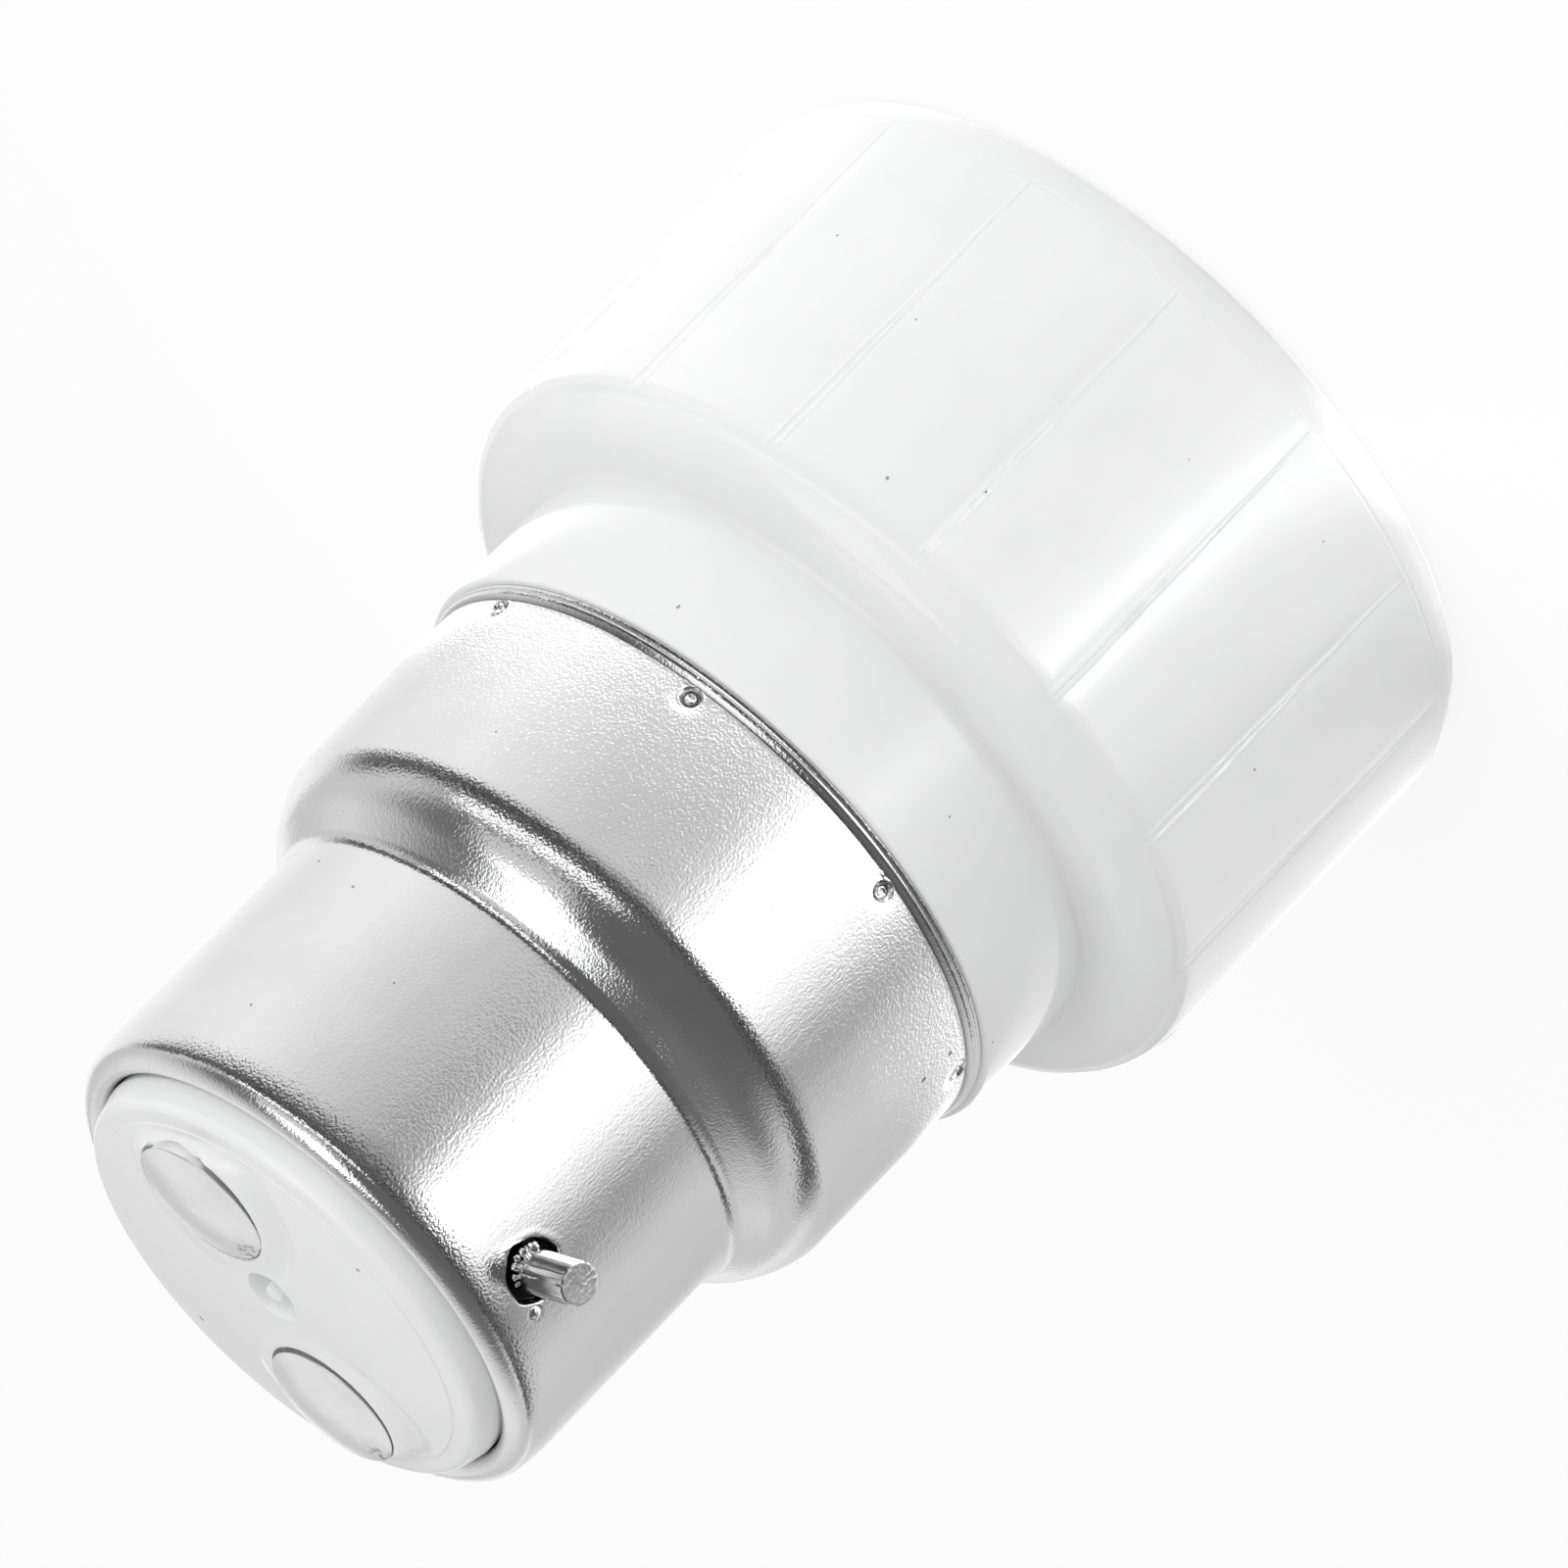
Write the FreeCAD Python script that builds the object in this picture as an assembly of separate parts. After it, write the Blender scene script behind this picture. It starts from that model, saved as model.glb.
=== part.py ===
import math
import os

import FreeCAD
import Part
from FreeCAD import Vector

# Lamp socket adapter: a two-pin bayonet cap at the top, a two-pin twist-lock lamp socket in the drum below.
# Millimetres. The drum's rim stands on z = 0, the cap points up, the bayonet pins lie along X.

# Cap sleeve, pressed from sheet
sheet = 0.4
cap_radius = 11.0
cap_length = 11.81
step_length = 1.9
step_width = 2.12
skirt_length = 9.76
skirt_draft = 0.03
lip_flare = 0.28
lip_height = 0.7
lip_bend = 0.8
roll_radius = 0.7
roll_reach = 1.35
roll_drop = 0.57
roll_bend = 0.25
step_round = 3.5
step_fillet = 0.5
crimp_count = 8
crimp_phase = 8.3
crimp_radius = 0.5
crimp_skin = 0.3
crimp_above_lip = 0.5

# Bayonet pins
pin_radius = 0.87
pin_reach = 2.75
pin_from_top = 3.15
pin_head_radius = 1.75
pin_head = 0.75
pin_tip_edge = 0.12
pin_neck = 0.3
pin_neck_rise = 0.1
pin_ring_foot = 1.2
pin_ring_top = 0.6
pin_ring_rise = 0.2

# Housing moulding
neck_length = 5.68
neck_step = 0.52
drum_radius = 17.38
drum_height = 18.37
drum_draft = 0.08
shoulder_round = 2.0
neck_fillet = 0.2
neck_edge = 0.12
rim_bevel_width = 0.81
rim_bevel_height = 1.34
rim_edge = 0.6
bevel_round = 1.8
wall = 1.95
roof = 2.2
cavity_round = 1.0
bore_edge = 0.6
spigot_below_step = 1.9
spigot_edge = 0.4
crimp_groove_depth = 0.5
crimp_groove_side = 0.2
tube_below_head = 1.1

# Grooves that divide the drum into gripping panels
groove_count = 15
groove_phase = 16.3
groove_half = 0.85
groove_dip = 0.1
notch_half = 0.15
notch_dip = 0.2
band_height = 1.73
groove_top_gap = 1.52

# Lamp socket
mouth_wall = 2.48
mouth_edge = 0.4
mouth_depth = 5.4
mouth_step = 0.4
insert_thickness = 3.6
ledge = 0.8
lamp_pin_spacing = 10.0
entry_radius = 3.0
slot_half = 1.7
slot_turn = 26.0
lamp_pin_length = 7.0
barrier_thickness = 1.2
barrier_height = 4.4
barrier_gap = 5.6

# End plate and its contacts
plate_rise = 1.5
plate_thickness = 3.42
plate_crown = 0.07
field_inset = 4.1
ridge_inset = 2.75
ridge_drop = 0.55
collar_rise = 0.08
contact_inset = 5.77
contact_radius = 2.85
contact_proud = 0.18
contact_edge = 0.6
contact_dome = 0.5
dome_width = 0.62
dome_fullness = 0.72
dome_round = 2.5
contact_shank = 1.2
contact_upset = 0.5
dish_radius = 4.1
dish_depth = 0.15
gate_radius = 1.2
gate_depth = 1.1
gate_nub = 0.66
gate_nub_drop = 0.12
gate_offset = (0.73, 0.61)

# Sheet springs, tags, fixings and leads
strip = 0.4
clip_width = 5.5
clip_shift = 1.25
clip_foot_out = 1.9
clip_foot_in = 2.2
clip_lean = 0.3
clip_height = 4.55
clip_reach = 1.9
clip_tail = 1.3
clip_tail_rise = 1.0
clip_bend = 0.8
clip_crown = 1.2
tab_width = 3.0
tab_height = 4.0
rivet_inset = 3.9
rivet_radius = 0.9
rivet_head = 0.9
rivet_head_height = 0.65
rivet_upset = 0.65
rivet_upset_height = 0.55
screw_radius = 1.35
screw_head_radius = 2.5
screw_head = 1.3
screw_head_sunk = 0.5
screw_end_gap = 1.2
recess_length = 2.8
recess_width = 0.55
recess_depth = 0.6
recess_turn = 20.0
boss_radius = 2.7
boss_sunk = 0.3
tag_width = 2.2
tag_ring = 1.1
tag_reach = 1.05
core_radius = 0.45
lead_radius = 0.85
lead_bend = 12.0
lead_foot = 1.2
lead_straight = 1.6
stripped_at_tag = 1.6
stripped_at_clip = 0.5
solder_radius = 1.0
solder_drop = 0.9
clip_solder_radius = 1.15

# Clearances
slip = 0.1
ease = 0.25
edge = 0.1
small_round = 0.25

# Heights and radii that follow from the lengths above
neck_top = drum_height + neck_length
skirt_top = neck_top + skirt_length
step_top = skirt_top + step_length
cap_top = step_top + cap_length
pin_height = cap_top - pin_from_top
crimp_height = neck_top + lip_height + crimp_above_lip
skirt_radius = cap_radius + step_width
mouth_radius = drum_radius - mouth_wall
seat_top = mouth_depth + insert_thickness
roof_under = drum_height - roof
tube_top = pin_height - pin_head_radius - tube_below_head
spigot_radius = skirt_radius - sheet - slip
spigot_top = skirt_top - spigot_below_step
tube_radius = cap_radius - sheet - slip
tube_bore = tube_radius - wall
neck_radius = skirt_radius + neck_step
neck_bore = spigot_radius - wall
funnel_top = spigot_top - wall
funnel_low = funnel_top - (neck_bore - tube_bore)
seat_radius = mouth_radius - mouth_step
cavity_radius = seat_radius - ledge
boss_centre = cavity_radius - boss_radius + boss_sunk
plate_collar = cap_radius - roll_reach
roll_end = cap_top - roll_drop
field_height = cap_top + plate_rise
plate_under = field_height - plate_thickness
contact_y = cap_radius - contact_inset
contact_rim = field_height + contact_proud
well_floor = contact_rim - contact_edge
tag_under = plate_under - strip
tag_eye_x = contact_radius + tag_reach
rivet_x = seat_radius - rivet_inset
tab_x = rivet_x - clip_foot_in + edge
tab_top = seat_top + tab_height
clip_side = clip_shift + clip_width / 2
head_seat = mouth_depth + screw_head + screw_head_sunk
screw_tip = roof_under - screw_end_gap


def corner_reach(before, here, after, radius):
    # how far along both sides a rounding of this radius takes hold
    half = (before - here).getAngle(after - here) / 2
    return radius / math.tan(half)


def is_straight(before, here, after):
    return (here - before).getAngle(after - here) < math.radians(0.2)


def corner_ends(before, here, after, radius):
    # where a rounding leaves both sides of a corner, and the middle of its arc
    back = (before - here).normalize()
    ahead = (after - here).normalize()
    half = back.getAngle(ahead) / 2
    reach = radius / math.tan(half)
    middle = here + (back + ahead).normalize() * (radius / math.sin(half) - radius)
    return here + back * reach, middle, here + ahead * reach


def fitted_radii(points, radii, closed):
    # roundings that share a side too short for both shrink until they fit on it
    count = len(points)
    fitted = list(radii)
    reaches = [0.0] * count
    for index in range(0 if closed else 1, count if closed else count - 1):
        before = points[index - 1]
        after = points[(index + 1) % count]
        if is_straight(before, points[index], after):
            fitted[index] = 0
        elif radii[index] > 0:
            reaches[index] = corner_reach(before, points[index], after, radii[index])
    for index in range(count if closed else count - 1):
        following = (index + 1) % count
        side = (points[following] - points[index]).Length
        needed = reaches[index] + reaches[following]
        if needed > 0.98 * side:
            share = 0.98 * side / needed
            fitted[index] = min(fitted[index], radii[index] * share)
            fitted[following] = min(fitted[following], radii[following] * share)
    return fitted


def rounded_edges(points, radii, closed):
    count = len(points)
    radii = fitted_radii(points, radii, closed)
    stops = []
    for index, here in enumerate(points):
        inner = closed or 0 < index < count - 1
        if radii[index] > 0 and inner:
            before = points[index - 1]
            after = points[(index + 1) % count]
            stops.append(corner_ends(before, here, after, radii[index]))
        else:
            stops.append((here, here, here))
    edges = []
    for index in range(count):
        first, middle, last = stops[index]
        if (last - first).Length > 1e-6:
            edges.append(Part.Arc(first, middle, last).toShape())
        if closed or index < count - 1:
            following = stops[(index + 1) % count][0]
            if (following - last).Length > 1e-6:
                edges.append(Part.makeLine(last, following))
    return edges


def section(corners):
    # a closed face in the XZ plane; each corner is (x, z) or (x, z, rounding)
    points = [Vector(corner[0], 0, corner[1]) for corner in corners]
    radii = [corner[2] if len(corner) > 2 else 0 for corner in corners]
    return Part.Face(Part.Wire(rounded_edges(points, radii, True)))


def turned(corners):
    return section(corners).revolve(Vector(0, 0, 0), Vector(0, 0, 1), 360)


def bent_sheet(path, thickness):
    # the outline of a bent sheet whose middle line is the path; each bend keeps the thickness
    points = [Vector(corner[0], 0, corner[1]) for corner in path]
    radii = [corner[2] if len(corner) > 2 else 0 for corner in path]
    half = thickness / 2
    sides = ([], [])
    for index, here in enumerate(points):
        arriving = (here - points[max(index - 1, 0)]) if index else (points[1] - here)
        leaving = (points[index + 1] - here) if index < len(points) - 1 else arriving
        arriving = Vector(arriving).normalize()
        leaving = Vector(leaving).normalize()
        first = Vector(-arriving.z, 0, arriving.x)
        last = Vector(-leaving.z, 0, leaving.x)
        mitre = (first + last) * (half / (1 + first.dot(last)))
        turn = arriving.x * leaving.z - arriving.z * leaving.x
        for side, sign in ((sides[0], 1), (sides[1], -1)):
            place = here + mitre * sign
            radius = radii[index] - half * sign * math.copysign(1, turn) if radii[index] else 0
            side.append((place.x, place.z, radius))
    return sides[0] + sides[1][::-1]


def disc(radius, low, high, x=0.0, y=0.0):
    return Part.makeCylinder(radius, high - low, Vector(x, y, low))


def around(shape, angle):
    other = shape.copy()
    other.rotate(Vector(0, 0, 0), Vector(0, 0, 1), angle)
    return other


def groove_tool():
    # one groove: a shallow valley with a narrow notch along its middle
    reach = drum_radius - drum_draft / 2
    outside = drum_radius + 1.0
    corners = [
        (outside, -groove_half),
        (reach, -groove_half),
        (reach - groove_dip, -notch_half),
        (reach - notch_dip, -notch_half),
        (reach - notch_dip, notch_half),
        (reach - groove_dip, notch_half),
        (reach, groove_half),
        (outside, groove_half),
    ]
    low = band_height
    points = [Vector(x, y, low) for x, y in corners]
    face = Part.Face(Part.makePolygon(points + points[:1]))
    return face.extrude(Vector(0, 0, drum_height - groove_top_gap - low))


def housing_profile():
    # from the rim up the outside, down inside the cap's tube and back through the neck to the mouth
    rim_radius = drum_radius - rim_bevel_width
    groove_radius = spigot_radius - crimp_groove_depth
    groove_low = crimp_height - crimp_radius - crimp_groove_side
    groove_high = crimp_height + crimp_radius + crimp_groove_side
    return [
        (mouth_radius + mouth_edge, 0),
        (rim_radius, 0, rim_edge),
        (drum_radius, rim_bevel_height, bevel_round),
        (drum_radius - drum_draft, drum_height, shoulder_round),
        (neck_radius, drum_height, neck_fillet),
        (neck_radius, neck_top, neck_edge),
        (spigot_radius, neck_top),
        (spigot_radius, groove_low - crimp_groove_side),
        (groove_radius, groove_low),
        (groove_radius, groove_high),
        (spigot_radius, groove_high + crimp_groove_side),
        (spigot_radius, spigot_top, spigot_edge),
        (tube_radius, spigot_top),
        (tube_radius, tube_top),
        (tube_bore, tube_top),
        (tube_bore, funnel_top),
        (neck_bore, funnel_low),
        (neck_bore, roof_under, bore_edge),
        (cavity_radius, roof_under, cavity_round),
        (cavity_radius, seat_top),
        (seat_radius, seat_top),
        (seat_radius, mouth_depth - edge),
        (mouth_radius, mouth_depth - edge),
        (mouth_radius, mouth_edge),
    ]


def housing():
    body = turned(housing_profile())
    for side in (-1, 1):
        body = body.fuse(disc(boss_radius, seat_top, roof_under + roof / 4, 0, side * boss_centre))
    for side in (-1, 1):
        body = body.cut(disc(screw_radius, mouth_depth, screw_tip, 0, side * boss_centre))
    tool = groove_tool()
    pitch = 360.0 / groove_count
    tools = [around(tool, groove_phase + pitch * index) for index in range(groove_count)]
    return body.cut(Part.makeCompound(tools))


def bayonet_shell():
    half = sheet / 2
    skirt_low = skirt_radius + skirt_draft
    roll_x = plate_collar + slip + half
    sleeve = turned(bent_sheet([
        (skirt_low + lip_flare - half, neck_top),
        (skirt_low - half, neck_top + lip_height, lip_bend),
        (skirt_radius - skirt_draft - half, skirt_top, step_round - half),
        (cap_radius - half, step_top, step_fillet + half),
        (cap_radius - half, cap_top - half, roll_radius - half),
        (roll_x, cap_top - half, roll_bend),
        (roll_x, roll_end),
    ], sheet))
    sleeve = sleeve.cut(disc(neck_radius + 1, neck_top - 1, neck_top))
    core = disc(skirt_radius - half, neck_top, skirt_top)
    for index in range(crimp_count):
        angle = math.radians(crimp_phase + 360.0 / crimp_count * index)
        out = Vector(math.cos(angle), math.sin(angle), 0)
        lift = Vector(0, 0, crimp_height)
        cup = Part.makeSphere(crimp_radius + crimp_skin, out * (skirt_radius - sheet / 4) + lift)
        pit = Part.makeSphere(crimp_radius, out * skirt_radius + lift)
        sleeve = sleeve.fuse(cup.common(core)).cut(pit)
    sunk = 0.75 * sheet
    for side in (-1, 1):
        out = Vector(side, 0, 0)
        root = Vector(side * (cap_radius - sunk), 0, pin_height)
        ring = Part.makeCone(pin_radius + pin_ring_foot, pin_radius + pin_ring_top, sunk + pin_ring_rise, root, out)
        start = Vector(side * (cap_radius - 3 * sheet), 0, pin_height)
        sleeve = sleeve.fuse(ring).cut(Part.makeCylinder(pin_radius + pin_neck, pin_reach, start, out))
    return sleeve


def bayonet_pin():
    # headed from inside, its head shaped to the sleeve's inner face, its thicker neck staked in the sleeve
    out = Vector(1, 0, 0)
    inside = cap_radius - sheet
    back = Vector(inside - pin_head, 0, pin_height)
    shoulder = cap_radius + pin_reach - pin_tip_edge
    head = Part.makeCylinder(pin_head_radius, 2 * pin_head, back, out)
    head = head.common(disc(inside, pin_height - 2 * pin_head_radius, pin_height + 2 * pin_head_radius))
    neck = Part.makeCylinder(pin_radius + pin_neck, cap_radius + pin_neck_rise - back.x, back, out)
    shank = Part.makeCylinder(pin_radius, shoulder - back.x, back, out)
    tip = Part.makeCone(pin_radius, pin_radius - pin_tip_edge, pin_tip_edge, Vector(shoulder, 0, pin_height), out)
    return head.fuse(neck).fuse(shank).fuse(tip)


def end_plate():
    bore = tube_bore + slip
    body = turned([
        (0, plate_under),
        (bore, plate_under, 0.5),
        (bore, tube_top),
        (tube_radius, tube_top),
        (tube_radius, roll_end, 0.2),
        (plate_collar, roll_end),
        (plate_collar, cap_top + collar_rise, 0.3),
        (cap_radius - ridge_inset, field_height - ridge_drop, 0.5),
        (cap_radius - field_inset, field_height - plate_crown, 1.5),
        (0, field_height),
    ])
    above = field_height + 1
    x, y = gate_offset
    pit = disc(gate_radius, field_height - gate_depth, above, x, y)
    nub = disc(gate_radius - gate_nub, field_height - gate_depth, field_height - gate_nub_drop, x, y)
    body = body.cut(pit).fuse(nub)
    for side in (-1, 1):
        y = side * contact_y
        low = field_height - dish_depth
        body = body.cut(Part.makeCone(contact_radius, dish_radius, dish_depth, Vector(0, y, low)))
        body = body.cut(disc(contact_radius + ease / 2, well_floor, above, 0, y))
        body = body.cut(disc(contact_shank, plate_under - 1, above, 0, y))
        body = body.cut(pin_head_slot(side))
    return body


def pin_head_slot(side):
    # room under the plate's flange for the head of one bayonet pin
    half = pin_head_radius + ease
    slot = Part.makeBox(
        tube_radius, 2 * half, pin_height + half - tube_top,
        Vector(min(side, 0) * tube_radius, -half, tube_top),
    )
    return slot.cut(disc(cap_radius - sheet - pin_head - 2 * ease, tube_top - 1, field_height))


def contact():
    # a riveted contact: domed head in its well, shank through the plate, end upset under the tag
    low = tag_under - contact_upset
    body = turned([
        (0, low),
        (contact_shank + contact_upset, low, small_round),
        (contact_shank + contact_upset, tag_under),
        (contact_shank, tag_under),
        (contact_shank, well_floor),
        (contact_radius - edge, well_floor, edge),
        (contact_radius, contact_rim, 2 * edge),
        (contact_radius * dome_width, contact_rim + contact_dome * dome_fullness, dome_round),
        (0, contact_rim + contact_dome),
    ])
    body.translate(Vector(0, contact_y, 0))
    return body


def solder_tag():
    half = tag_width / 2
    above = plate_under + 1
    below = tag_under - 1
    ring = disc(contact_shank + tag_ring, tag_under, plate_under, 0, contact_y)
    tail = Part.makeBox(tag_eye_x, tag_width, strip, Vector(0, contact_y - half, tag_under))
    tail = tail.fuse(disc(half, tag_under, plate_under, tag_eye_x, contact_y))
    body = ring.fuse(tail).removeSplitter()
    body = body.cut(disc(contact_shank, below, above, 0, contact_y))
    return body.cut(disc(core_radius + slip, below, above, tag_eye_x, contact_y))


def lead_points():
    # from the clip's tab, in past the edge of the neck's bore, up to the eye of the solder tag
    foot_y = clip_side + strip + core_radius
    bend_y = clip_side + lead_radius + 2 * ease
    room = neck_bore - lead_radius - 2 * ease
    bend_x = min(tab_x + core_radius, math.sqrt(room ** 2 - bend_y ** 2))
    foot = seat_top + lead_foot
    return [
        Vector(tab_x + core_radius, foot_y, foot),
        Vector(tab_x + core_radius, foot_y, foot + lead_straight),
        Vector(bend_x, bend_y, roof_under),
        Vector(tag_eye_x, contact_y, funnel_low),
        Vector(tag_eye_x, contact_y, plate_under - slip),
    ]


def lead_path():
    points = lead_points()
    return Part.Wire(rounded_edges(points, [lead_bend] * len(points), False))


def pipe(radius):
    path = lead_path()
    start = path.Edges[0].firstVertex().Point
    ring = Part.Wire(Part.makeCircle(radius, start, Vector(0, 0, 1)))
    return path.makePipeShell([ring], True, False)


def lead_core():
    return pipe(core_radius)


def lead_sleeve():
    # stripped back at both ends
    covered = disc(neck_radius, tab_top + stripped_at_clip, plate_under - stripped_at_tag)
    return pipe(lead_radius).common(covered).cut(lead_core())


def tag_solder():
    # a drop that hangs under the tag, with a plug in the tag's eye
    drop = Part.makeSphere(solder_radius, Vector(tag_eye_x, contact_y, tag_under))
    drop = drop.common(disc(2 * solder_radius, tag_under - solder_drop, tag_under, tag_eye_x, contact_y))
    plug = disc(core_radius + slip, tag_under - slip, plate_under, tag_eye_x, contact_y)
    return drop.fuse(plug).cut(lead_core())


def spring_clip():
    # a bent strip: foot on the insert, upright, then the leaf that presses on the lamp's pin
    foot = seat_top + strip / 2
    pin_end = seat_top - insert_thickness + lamp_pin_length + strip / 2
    bend_x = rivet_x - clip_foot_in
    crest_x = lamp_pin_spacing / 2 - clip_reach
    outline = bent_sheet([
        (rivet_x + clip_foot_out, foot),
        (bend_x, foot, clip_bend),
        (bend_x - clip_lean, seat_top + clip_height, clip_crown),
        (crest_x, pin_end, clip_bend),
        (crest_x - clip_tail, pin_end + clip_tail_rise),
    ], strip)
    body = section(outline).extrude(Vector(0, clip_width, 0))
    body.translate(Vector(0, clip_side - clip_width, 0))
    tab = Part.makeBox(tab_width, strip, tab_height, Vector(tab_x, clip_side, seat_top))
    hole = disc(rivet_radius, seat_top - strip, seat_top + 2 * strip, rivet_x, clip_shift)
    return body.fuse(tab).cut(hole)


def clip_solder():
    start = lead_points()[0]
    side = 2 * clip_solder_radius
    face = clip_side + strip
    drop = Part.makeSphere(clip_solder_radius, Vector(start.x, face + edge, start.z + clip_solder_radius))
    front = Part.makeBox(2 * side, side, 2 * side, Vector(start.x - side, face, start.z - side / 2))
    return drop.common(front).cut(lead_core())


def keyhole():
    # round entry for the pin's head, then an arc for its neck about the socket's axis
    reach = lamp_pin_spacing / 2
    low = mouth_depth - 1
    high = seat_top + 1
    entry = disc(entry_radius, low, high, reach, 0)
    end = math.radians(slot_turn)
    stop = disc(slot_half, low, high, reach * math.cos(end), reach * math.sin(end))
    ring = disc(reach + slot_half, low, high).cut(disc(reach - slot_half, low, high))
    far = 3 * reach
    span = Part.makePolygon([
        Vector(0, 0, low),
        Vector(far, 0, low),
        Vector(far * math.cos(end / 2), far * math.sin(end / 2), low),
        Vector(far * math.cos(end), far * math.sin(end), low),
        Vector(0, 0, low),
    ])
    wedge = Part.Face(span).extrude(Vector(0, 0, high - low))
    return entry.fuse(ring.common(wedge)).fuse(stop)


def socket_insert():
    plate = disc(seat_radius - slip, mouth_depth, seat_top)
    reach = cavity_radius - barrier_gap
    barrier = Part.makeBox(
        barrier_thickness, 2 * reach, barrier_height + edge,
        Vector(-barrier_thickness / 2, -reach, seat_top - edge),
    )
    plate = plate.fuse(barrier)
    low = mouth_depth - 1
    high = seat_top + 1
    for turn, side in ((0, 1), (180, -1)):
        y = side * boss_centre
        x = side * rivet_x
        shift = side * clip_shift
        plate = plate.cut(around(keyhole(), turn))
        plate = plate.cut(disc(screw_radius + ease, low, high, 0, y))
        plate = plate.cut(disc(screw_head_radius + ease, low, head_seat, 0, y))
        plate = plate.cut(disc(rivet_radius, low, high, x, shift))
        plate = plate.cut(disc(rivet_radius + rivet_head + 2 * edge, low, rivet_seat(), x, shift))
    return plate


def rivet_seat():
    return mouth_depth + rivet_head_height + 1.5 * edge


def insert_screw():
    head_low = head_seat - screw_head
    screw = turned([
        (0, head_low),
        (screw_head_radius, head_low, 0.5),
        (screw_head_radius, head_seat),
        (screw_radius, head_seat),
        (screw_radius, screw_tip - screw_radius - 2 * edge),
        (0, screw_tip - 2 * edge),
    ])
    corner = Vector(-recess_length / 2, -recess_width / 2, head_low - edge)
    for turn in (0, 90):
        bar = Part.makeBox(recess_length, recess_width, recess_depth + edge, corner)
        screw = screw.cut(around(bar, turn + recess_turn))
    screw.translate(Vector(0, boss_centre, 0))
    return screw


def clip_rivet():
    head_low = rivet_seat() - rivet_head_height
    base = seat_top + strip
    rivet = turned([
        (0, head_low),
        (rivet_radius + rivet_head, head_low, small_round),
        (rivet_radius + rivet_head, rivet_seat()),
        (rivet_radius, rivet_seat()),
        (rivet_radius, base),
        (rivet_radius + rivet_upset, base),
        (rivet_radius + rivet_upset, base + rivet_upset_height, small_round),
        (0, base + rivet_upset_height),
    ])
    rivet.translate(Vector(rivet_x, clip_shift, 0))
    return rivet


def save(name, *solids):
    shape = solids[0] if len(solids) == 1 else Part.makeCompound(list(solids))
    if len(solids) == 1:
        shape = shape.Solids[0]
    shape.exportStep(os.path.join("parts", name + ".step"))
    box = shape.BoundBox
    print(name, "solids", len(shape.Solids), "valid", shape.isValid(),
          "volume", round(shape.Volume, 2), "z", round(box.ZMin, 2), round(box.ZMax, 2))


def main():
    os.makedirs("parts", exist_ok=True)
    save("housing", housing())
    save("bayonet_shell", bayonet_shell())
    save("end_plate", end_plate())
    save("socket_insert", socket_insert())
    pairs = (
        ("bayonet_pin", bayonet_pin()),
        ("contact", contact()),
        ("solder_tag", solder_tag()),
        ("tag_solder", tag_solder()),
        ("lead_core", lead_core()),
        ("lead_sleeve", lead_sleeve()),
        ("clip_solder", clip_solder()),
        ("spring_clip", spring_clip()),
    )
    for name, shape in pairs:
        save(name + "_a", shape)
        save(name + "_b", around(shape, 180))
    for name, shape in (("insert_screws", insert_screw()), ("clip_rivets", clip_rivet())):
        save(name, shape, around(shape, 180))
    path = lead_path()
    radii = sorted({round(bend.Curve.Radius, 2) for bend in path.Edges if hasattr(bend.Curve, "Radius")})
    print("lead bend radii", radii, "length", round(path.Length, 1))


main()
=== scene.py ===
import bmesh
import bpy
import math
import random
from mathutils import Matrix, Vector, noise


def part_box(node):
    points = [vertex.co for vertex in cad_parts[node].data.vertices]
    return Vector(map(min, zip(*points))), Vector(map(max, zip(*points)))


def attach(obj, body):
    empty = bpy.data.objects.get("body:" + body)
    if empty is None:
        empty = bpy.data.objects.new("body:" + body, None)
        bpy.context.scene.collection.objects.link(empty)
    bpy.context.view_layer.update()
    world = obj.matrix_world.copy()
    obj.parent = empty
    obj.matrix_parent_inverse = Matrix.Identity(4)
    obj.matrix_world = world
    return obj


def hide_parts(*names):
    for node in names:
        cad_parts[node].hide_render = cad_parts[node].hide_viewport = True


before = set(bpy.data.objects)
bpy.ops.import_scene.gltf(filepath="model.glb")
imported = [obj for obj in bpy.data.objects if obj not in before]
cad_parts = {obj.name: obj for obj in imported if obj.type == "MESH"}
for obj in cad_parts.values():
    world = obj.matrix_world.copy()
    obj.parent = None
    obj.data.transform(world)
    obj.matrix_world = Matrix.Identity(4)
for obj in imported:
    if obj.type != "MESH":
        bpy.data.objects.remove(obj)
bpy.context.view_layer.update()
print("frame loaded,", len(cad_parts), "CAD nodes")

mm = 0.001
upAxis = Vector((0, 0, 1))
mergeGap = 0.002 * mm

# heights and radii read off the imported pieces
housingLow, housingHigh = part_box("housing")
sleeveLow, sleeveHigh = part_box("bayonet_shell")
pinLow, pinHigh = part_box("bayonet_pin_a")
drumRadius = housingHigh.x
neckTop = sleeveLow.z
capTop = sleeveHigh.z
pinHeight = (pinLow.z + pinHigh.z) / 2
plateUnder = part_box("end_plate")[0].z
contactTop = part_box("contact_a")[1].z


# mesh helpers

def smoothStep(value):
    value = max(0.0, min(1.0, value))
    return value * value * (3 - 2 * value)


def bump(distance, reach):
    # 1 in the middle, falling smoothly to 0 at the reach
    return smoothStep(1 - abs(distance) / reach)


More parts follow.
